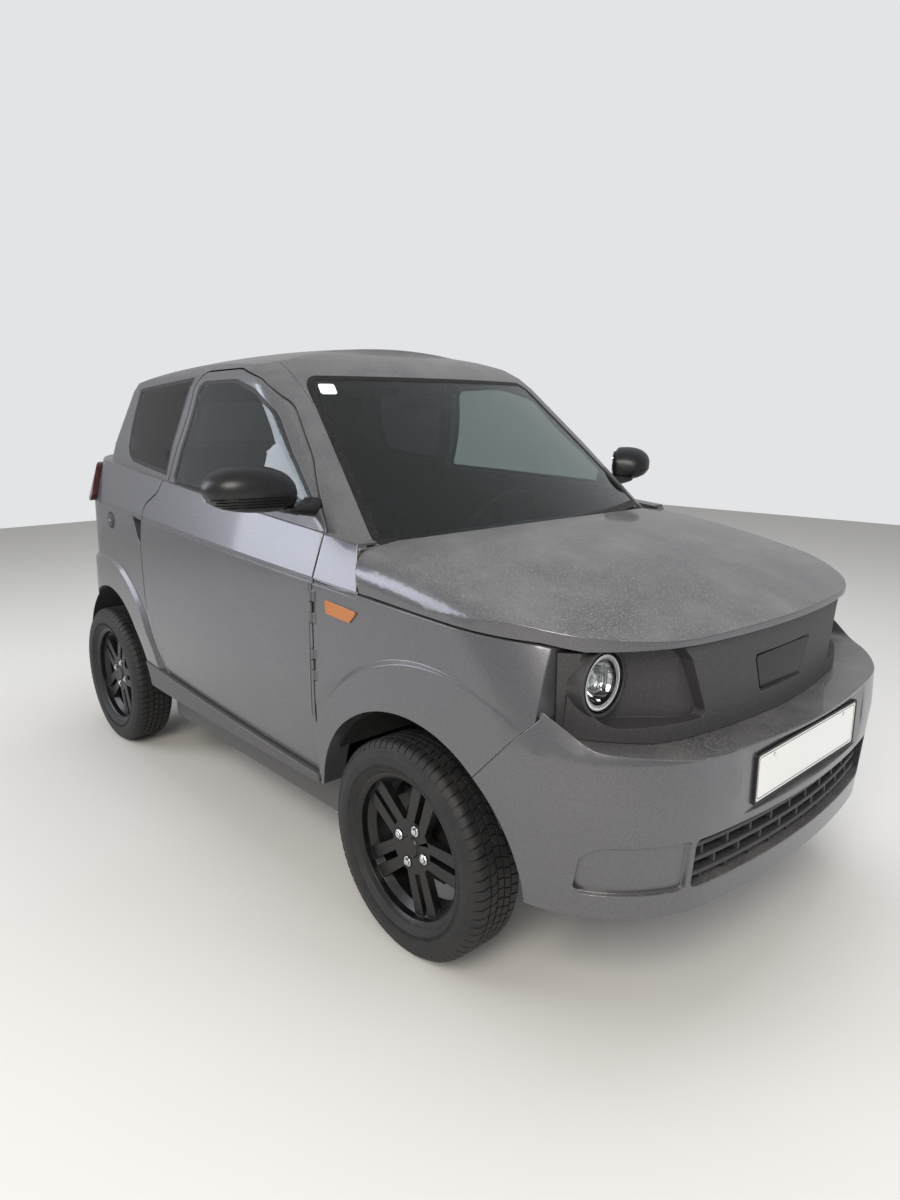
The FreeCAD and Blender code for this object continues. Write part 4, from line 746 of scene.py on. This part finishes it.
def evenSteps(points, step):
    closed = points + [points[0]]
    lengths = [0.0]
    for first, second in zip(closed, closed[1:]):
        lengths.append(lengths[-1] + (second - first).length)
    count = int(lengths[-1] / step)
    result, index = [], 0
    for number in range(count):
        target = lengths[-1] * number / count
        while lengths[index + 1] < target:
            index += 1
        part = (target - lengths[index]) / max(lengths[index + 1] - lengths[index], 1e-9)
        result.append(closed[index].lerp(closed[index + 1], part))
    return result


def paneBorder(node, number, body, outward, width):
    points = evenSteps(paneLoop(node, outward), borderLook["step"])
    skin = surfaceOf(node, outward)
    middle = sum(points, Vector()) / len(points)
    inner = []
    for index, point in enumerate(points):
        along = (points[(index + 1) % len(points)] - points[index - 1]).normalized()
        normal = skin.find_nearest(point)[1]
        inward = normal.cross(along).normalized()
        if inward.dot(middle - point) < 0:
            inward.negate()
        inner.append(point + inward * width)
    for smoothing in range(borderLook["smoothing"]):
        inner = [(inner[i - 1] + inner[i] * 2 + inner[(i + 1) % len(inner)]) / 4 for i in range(len(inner))]
    rings = []
    for outer, within in zip(points, inner):
        nearest, normal = skin.find_nearest(within)[:2]
        edgeNormal = skin.find_nearest(outer)[1]
        rings.append([outer - edgeNormal * 0.0006, outer + edgeNormal * 0.0012,
                      outer.lerp(nearest, 0.45) + normal * 0.0013, nearest + normal * 0.0004,
                      nearest - normal * 0.0006])
    work = bmesh.new()
    loft(work, rings, closed=True)
    addPiece("%s_border_%d" % (node, number), shapeMesh("paneBorder", work, 50), body, sealRubber)
    return points


def beltLine(points, way):  # along the lower edge of a door pane, from back to front
    limit = min(point.z for point in points) + beltLook["reach"]
    low = [point for point in points if point.z < limit and beltLook["rear"] < point.x < beltLook["front"]]
    low.sort(key=lambda point: (round(point.x, 3), point.z))
    belt = low[:1]
    for point in low:
        if point.x > belt[-1].x + beltLook["apart"]:
            belt.append(point)
    offset = Vector((0, way * beltLook["out"], -beltLook["down"]))
    return [point + offset for point in belt if point.z < beltLook["top"]]


for node, (body, ways, width) in borders.items():
    for number, outward in enumerate(ways):
        points = paneBorder(node, number, body, outward, width)
        if node.startswith("door_glass"):
            sweepLine(node + "_belt", beltLine(points, outward[1]), beltLook["deep"], beltLook["high"], body,
                      sealRubber, bevel=0.0015)
print("window borders ready")

# Door mirrors: a domed housing on an arm, with ribs round the lower band

mirrorLook = {"fold": 30, "pivot": (0.345, 0.778, 0), "out": 0.014, "steps": 40, "ribDeep": 0.004,
              "ribSteps": 44}
mirrorRibs = ((1.1110, 0.0016), (1.1190, 0.0016), (1.1270, 0.0016), (1.1350, 0.003))  # height, thickness
housing = [  # across, lowest, highest, back, front
    (0.9625, 1.1560, 1.1640, 0.318, 0.330), (0.9600, 1.1480, 1.1730, 0.310, 0.342),
    (0.9520, 1.1340, 1.1860, 0.301, 0.362), (0.9350, 1.1190, 1.2000, 0.296, 0.386),
    (0.9080, 1.1060, 1.2110, 0.293, 0.405), (0.8750, 1.0990, 1.2170, 0.291, 0.418),
    (0.8350, 1.0950, 1.2188, 0.290, 0.4255), (0.7980, 1.0940, 1.2160, 0.290, 0.4260),
    (0.7650, 1.0950, 1.2070, 0.291, 0.4200), (0.7420, 1.0980, 1.1950, 0.292, 0.4080),
    (0.7280, 1.1050, 1.1780, 0.295, 0.3900), (0.7220, 1.1180, 1.1600, 0.304, 0.3660)]
arm = [(0.7700, 1.0960, 1.1080, 0.330, 0.3960), (0.7480, 1.0880, 1.1120, 0.322, 0.3980),
       (0.7150, 1.0820, 1.1120, 0.324, 0.3920), (0.6800, 1.0760, 1.1140, 0.322, 0.3860),
       (0.6580, 1.0700, 1.1240, 0.306, 0.3880), (0.6440, 1.0680, 1.1360, 0.296, 0.3900)]
mirrorPane = [(-0.945, 1.128), (-0.885, 1.108), (-0.738, 1.106), (-0.736, 1.186), (-0.780, 1.202),
              (-0.885, 1.202), (-0.938, 1.180)]


def sectionRing(across, low, high, back, front, steps, squareness):
    ring = []
    for step in range(steps):
        angle = 2 * math.pi * step / steps
        c, s = math.cos(angle), math.sin(angle)
        middle = back + (front - back) * 0.3
        reach = (front - middle) * abs(c) ** 0.85 if c > 0 else -(middle - back) * abs(c) ** 0.3
        tall = (high - low) / 2 * math.copysign(abs(s) ** squareness, s)
        ring.append((middle + reach, -across, (high + low) / 2 + tall))
    return ring


def domed(name, rows, steps, squareness, sharp):
    work = bmesh.new()
    made = loft(work, [sectionRing(*row, steps, squareness) for row in rows])
    work.faces.new(made[0])
    work.faces.new(made[-1])
    return shapeMesh(name, work, sharp)


def placeMirror(mesh, side, folded=True):  # the right one as drawn, the left one mirrored and folded back
    if side == "right":
        return mesh
    work = bmesh.new()
    work.from_mesh(mesh)
    pivot = Vector(mirrorLook["pivot"])
    swing = Matrix.Rotation(math.radians(mirrorLook["fold"]), 3, "Z")
    for vertex in work.verts:
        vertex.co.y = -vertex.co.y
        if folded:
            vertex.co = swing @ (vertex.co - pivot) + pivot + Vector((0, mirrorLook["out"], 0))
    placed = shapeMesh(mesh.name, work, 40)
    for material in mesh.materials:
        placed.materials.append(material)
    return placed


for side in sides:
    body, node = "door_" + side, "mirror_" + side
    shell = domed("mirrorShell", housing, mirrorLook["steps"], 0.9, 40)
    front = BVHTree.FromPolygons([v.co for v in shell.vertices], [tuple(f.vertices) for f in shell.polygons])
    rounded(addPiece(node + "_housing", placeMirror(shell, side), body, satinBlack, (node,)))
    for number, (height, thick) in enumerate(mirrorRibs):
        line = []
        for step in range(mirrorLook["ribSteps"] + 1):
            part = step / mirrorLook["ribSteps"]
            start = Vector((1, -0.735 - 0.215 * part, height + 0.004 * math.sin(3.1 * part)))
            hit = front.ray_cast(start, Vector((-1, 0, 0)))[0]
            if hit:
                line.append(hit + Vector((-0.0008, 0, 0)))
        rib = sweepLine("%s_rib_%d" % (node, number), line, mirrorLook["ribDeep"], thick, body, glossBlack)
        rib.data = placeMirror(rib.data, side)
    bracket = domed("mirrorArm", arm, 24, 0.6, 50)
    rounded(addPiece(node + "_arm", placeMirror(bracket, side, False), body, satinBlack))
    silver = slabMesh("mirrorGlass", roundOutline(mirrorPane, 0.012), 0, 0.2885, 0.2925)
    addPiece(node + "_glass", placeMirror(silver, side), body, mirrorSilver)
print("door mirrors ready")

# Seats: sewn cloth pads that swell from a smaller form, on a plain shell

seatLook = {"aside": 0.320, "voxel": 0.006, "pressure": 4.0, "cap": 0.016, "frames": 20, "corner": 0.010,
            "seam": 0.0045, "seamWide": 0.006, "shellHalf": 0.215}
padForms = {  # pad: outline in X and Z, half width, fill, share of the half width at which each seam lies
    "cushion": ([(-0.040, 0.335), (-0.012, 0.385), (-0.048, 0.428), (-0.200, 0.412), (-0.400, 0.392),
                 (-0.405, 0.330)], 0.205, 0.7, (0.62, 0.95)),
    "back": ([(-0.440, 0.395), (-0.425, 0.430), (-0.480, 0.600), (-0.545, 0.795), (-0.590, 0.815),
              (-0.622, 0.790), (-0.540, 0.500), (-0.510, 0.395)], 0.195, 0.7, (0.62, 0.95)),
    "headrest": ([(-0.574, 0.850), (-0.560, 0.885), (-0.578, 0.985), (-0.605, 0.998), (-0.632, 0.980),
                  (-0.626, 0.860), (-0.600, 0.842)], 0.110, 0.8, (0.9,)),
}
seatShell = [(-0.560, 0.250), (-0.500, 0.370), (-0.620, 0.800), (-0.650, 0.800), (-0.560, 0.470),
             (-0.520, 0.385), (-0.440, 0.322), (-0.005, 0.330), (-0.020, 0.250)]


def swell(mesh):  # cloth blown up a little, with the movement held to a cap
    piece = addObject("padSeed", mesh)
    remesh = piece.modifiers.new("even", "REMESH")
    remesh.mode = "VOXEL"
    remesh.voxel_size = seatLook["voxel"]
    bpy.context.view_layer.update()
    even = evaluatedMesh(piece)
    piece.modifiers.clear()
    piece.data = even
    start = [vertex.co.copy() for vertex in even.vertices]
    cloth = piece.modifiers.new("swell", "CLOTH")
    cloth.settings.use_pressure = True
    cloth.settings.uniform_pressure_force = seatLook["pressure"]
    cloth.settings.quality = 4
    cloth.settings.effector_weights.gravity = 0
    cloth.collision_settings.use_collision = False
    cloth.point_cache.frame_start, cloth.point_cache.frame_end = 1, seatLook["frames"]
    for number in range(1, seatLook["frames"] + 1):
        scene.frame_set(number)
    even = evaluatedMesh(piece)
    piece.modifiers.clear()
    for vertex, first in zip(even.vertices, start):
        move = vertex.co - first
        if move.length > seatLook["cap"]:
            vertex.co = first + move.normalized() * seatLook["cap"]
    scene.frame_set(1)
    bpy.data.objects.remove(piece)
    return even


def sewn(mesh, lines):  # seams pressed into a pad after it has swollen, at places across it
    normals = [vertex.normal.copy() for vertex in mesh.vertices]
    for vertex, normal in zip(mesh.vertices, normals):
        near = min(abs(abs(vertex.co.y) - line) for line in lines)
        vertex.co -= normal * seatLook["seam"] * math.exp(-(near / seatLook["seamWide"]) ** 2)


def padMesh(name, outline, half):
    work = bmesh.new()
    slab(work, roundOutline(outline, seatLook["corner"], 3), 1, -half, half)
    bmesh.ops.bevel(work, geom=work.edges[:], offset=seatLook["corner"], segments=2, affect="EDGES",
                    clamp_overlap=True)
    return swell(shapeMesh(name, work))


for name, (outline, half, fill, seams) in padForms.items():
    pad = padMesh(name, outline, half)
    sewn(pad, [half * share for share in seams])
    for side, way in sides.items():
        mesh = pad.copy()
        mesh.transform(Matrix.Translation((0, way * seatLook["aside"], 0)))
        mesh.shade_smooth()
        replaced = ("seats",) if name == "cushion" else ()
        piece = rounded(addPiece("seat_%s_%s" % (name, side), mesh, "body", seatCloth, replaced))
for side, way in sides.items():
    middle = way * seatLook["aside"]
    low, high = middle - seatLook["shellHalf"], middle + seatLook["shellHalf"]
    shell = slabMesh("seatShell", roundOutline(seatShell, 0.004, 2), 1, low, high)
    softEdges(addPiece("seat_shell_" + side, shell, "body", grainedBlack), 0.003)
    post = turnMesh("headrestPost", [(0.780, 0.0), (0.780, 0.006), (0.870, 0.006), (0.870, 0.0)],
                    (-0.600, middle - 0.055, 0), 2, 16)
    apart = {"Count": 2, "Step": (0, 0.11, 0)}
    repeatShape("headrest_posts_" + side, post, rowTree, apart, "body", chromePlate)
print("seats ready")

# Small outer parts: fuel cap with its lock, plain sticker, rear plate, reflectors and high brake lamp

def setOn(mesh, node, origin, way):  # puts a shape drawn along +X on the skin that a ray meets
    place, normal = surfaceOf(node).ray_cast(Vector(origin), Vector(way))[:2]
    mesh.transform(Matrix.Translation(place) @ normal.to_track_quat("X", "Z").to_matrix().to_4x4())
    return mesh


capPlace = ("body_side_right", (-1.026, -2, 0.945), (0, 1, 0))
capTurn = [(-0.008, 0.0), (-0.008, 0.0340), (0.0010, 0.0340), (0.0035, 0.0325), (0.0035, 0.0300),
           (-0.001, 0.0290), (-0.001, 0.0285), (0.0045, 0.0275), (0.0055, 0.0255), (0.0060, 0.0)]
lockTurn = [(0.0055, 0.0), (0.0055, 0.0065), (0.0072, 0.0060), (0.0072, 0.0)]
cap = turnMesh("fuelCap", capTurn, (0, 0, 0), 0, 56, sharp=30)
addPiece("fuel_cap", setOn(cap, *capPlace), "body", mattePanel)
lock = turnMesh("fuelLock", lockTurn, (0, 0, 0), 0, 24)
addPiece("fuel_cap_lock", setOn(lock, *capPlace), "body", chromePlate)
sticker = slabMesh("sticker", boxOutline(0.026, 0.024, 0, 0.009), 0, 0.0, 0.0006)
setOn(sticker, "windscreen", (0.118, -0.440, 3), (0, 0, -1))
addPiece("windscreen_sticker", sticker, "body", plateWhite)

rearLook = {"height": 0.800, "brake": 1.462, "reflector": 0.470, "reflectorAside": 0.42}
height = rearLook["height"]
rearX = surfaceOf("tailgate").ray_cast(Vector((-3, 0, height)), Vector((1, 0, 0)))[0].x
outline = boxOutline(0.300, 0.078, height + 0.008, 0.020)
panel = slabMesh("platePanel", outline, 0, rearX - 0.0025, rearX + 0.02)
softEdges(addPiece("rear_plate_panel", panel, "tailgate", grainedBlack), 0.0015)
outline = boxOutline(plateLook["half"], plateLook["tall"], height, 0.008)
addPiece("rear_plate", slabMesh("rearPlate", outline, 0, rearX - 0.0045, rearX), "tailgate", plateWhite)
plateLine("rear_plate_line", "tailgate", height, rearX - 0.0048)
for side, way in sides.items():
    reflector = slabMesh("reflector", boxOutline(0.055, 0.016, 0, 0.007), 0, -0.004, 0.0030)
    start = (-3, way * rearLook["reflectorAside"], rearLook["reflector"])
    setOn(reflector, "rear_bumper", start, (1, 0, 0))
    softEdges(addPiece("rear_reflector_" + side, reflector, "body", redLens), 0.001)
brakeLamp = slabMesh("brakeLamp", boxOutline(0.110, 0.008, 0, 0.005), 0, -0.006, 0.0025)
setOn(brakeLamp, "tailgate", (-3, 0, rearLook["brake"]), (1, 0, 0))
softEdges(addPiece("high_brake_lamp", brakeLamp, "tailgate", redLens), 0.001)
print("small parts ready")

# Stage: pale floor, soft lamps and the photograph's view

floorMesh = bpy.data.meshes.new("floor")
floorMesh.from_pydata([(-9, -9, 0), (9, -9, 0), (9, 9, 0), (-9, 9, 0)], [], [(0, 1, 2, 3)])
floor = addObject("floor", floorMesh)
floorMaterial, floorTree, floorShader, floorPlace = startMaterial("paleFloor", "#d6d4cf", 0.8)
grain(floorTree, floorPlace, floorShader, 40.0, 0.05)
floorMesh.materials.append(floorMaterial)

world = bpy.data.worlds.new("studio")
scene.world = world
world.use_nodes = True
sky = world.node_tree
background = sky.nodes["Background"]
background.inputs["Color"].default_value = toLinear("#e3e4e6")
paths = addNode(sky, "ShaderNodeLightPath")
seen = larger(sky, paths.outputs["Is Camera Ray"], paths.outputs["Is Transmission Ray"])
feed(sky, background, Strength=remap(sky, seen, To_Min=0.55))

lamps = {  # place, aim, size, power, colour, mirrored in gloss
    "key": ((3.6, -4.6, 4.4), (0.2, 0, 0.7), 3.0, 285, "#fff8ee", True),
    "fill": ((-3.5, -4.2, 3.0), (0, 0, 0.8), 3.0, 120, "#eef3ff", True),
    "top": ((0.0, 1.0, 5.2), (0, 0, 0.8), 4.0, 165, "#f2f6ff", False),
    "nose": ((5.0, 2.2, 2.2), (1.0, 0, 0.6), 2.4, 80, "#eef3ff", False),
}
for name, (place, aim, wide, power, colour, mirrored) in lamps.items():
    light = bpy.data.lights.new(name, "AREA")
    light.size = wide
    light.energy = power
    light.color = toLinear(colour)[:3]
    lamp = addObject(name, light)
    lamp.location = place
    lamp.visible_glossy = lamp.visible_transmission = mirrored
    lamp.rotation_euler = (Vector(aim) - Vector(place)).to_track_quat("-Z", "Y").to_euler()

eye = {"place": (2.2337, -1.8647, 1.3358), "yaw": 137.74, "down": 12.78, "roll": -0.26, "lens": 24.165}
yaw, down, roll = (math.radians(eye[key]) for key in ("yaw", "down", "roll"))
ahead = Vector((math.cos(yaw) * math.cos(down), math.sin(yaw) * math.cos(down), -math.sin(down)))
level = Vector((math.sin(yaw), -math.cos(yaw), 0))
upright = level.cross(ahead)
acrossAxis = level * math.cos(roll) + upright * math.sin(roll)
upAxis = upright * math.cos(roll) - level * math.sin(roll)
camera = bpy.data.cameras.new("photoView")
camera.lens = eye["lens"]
camera.sensor_width = 36
viewer = addObject("photoView", camera)
turned = Matrix((acrossAxis, upAxis, -ahead)).transposed().to_4x4()
viewer.matrix_world = Matrix.Translation(eye["place"]) @ turned
scene.camera = viewer
scene.view_settings.view_transform = "Standard"

print("stage ready")
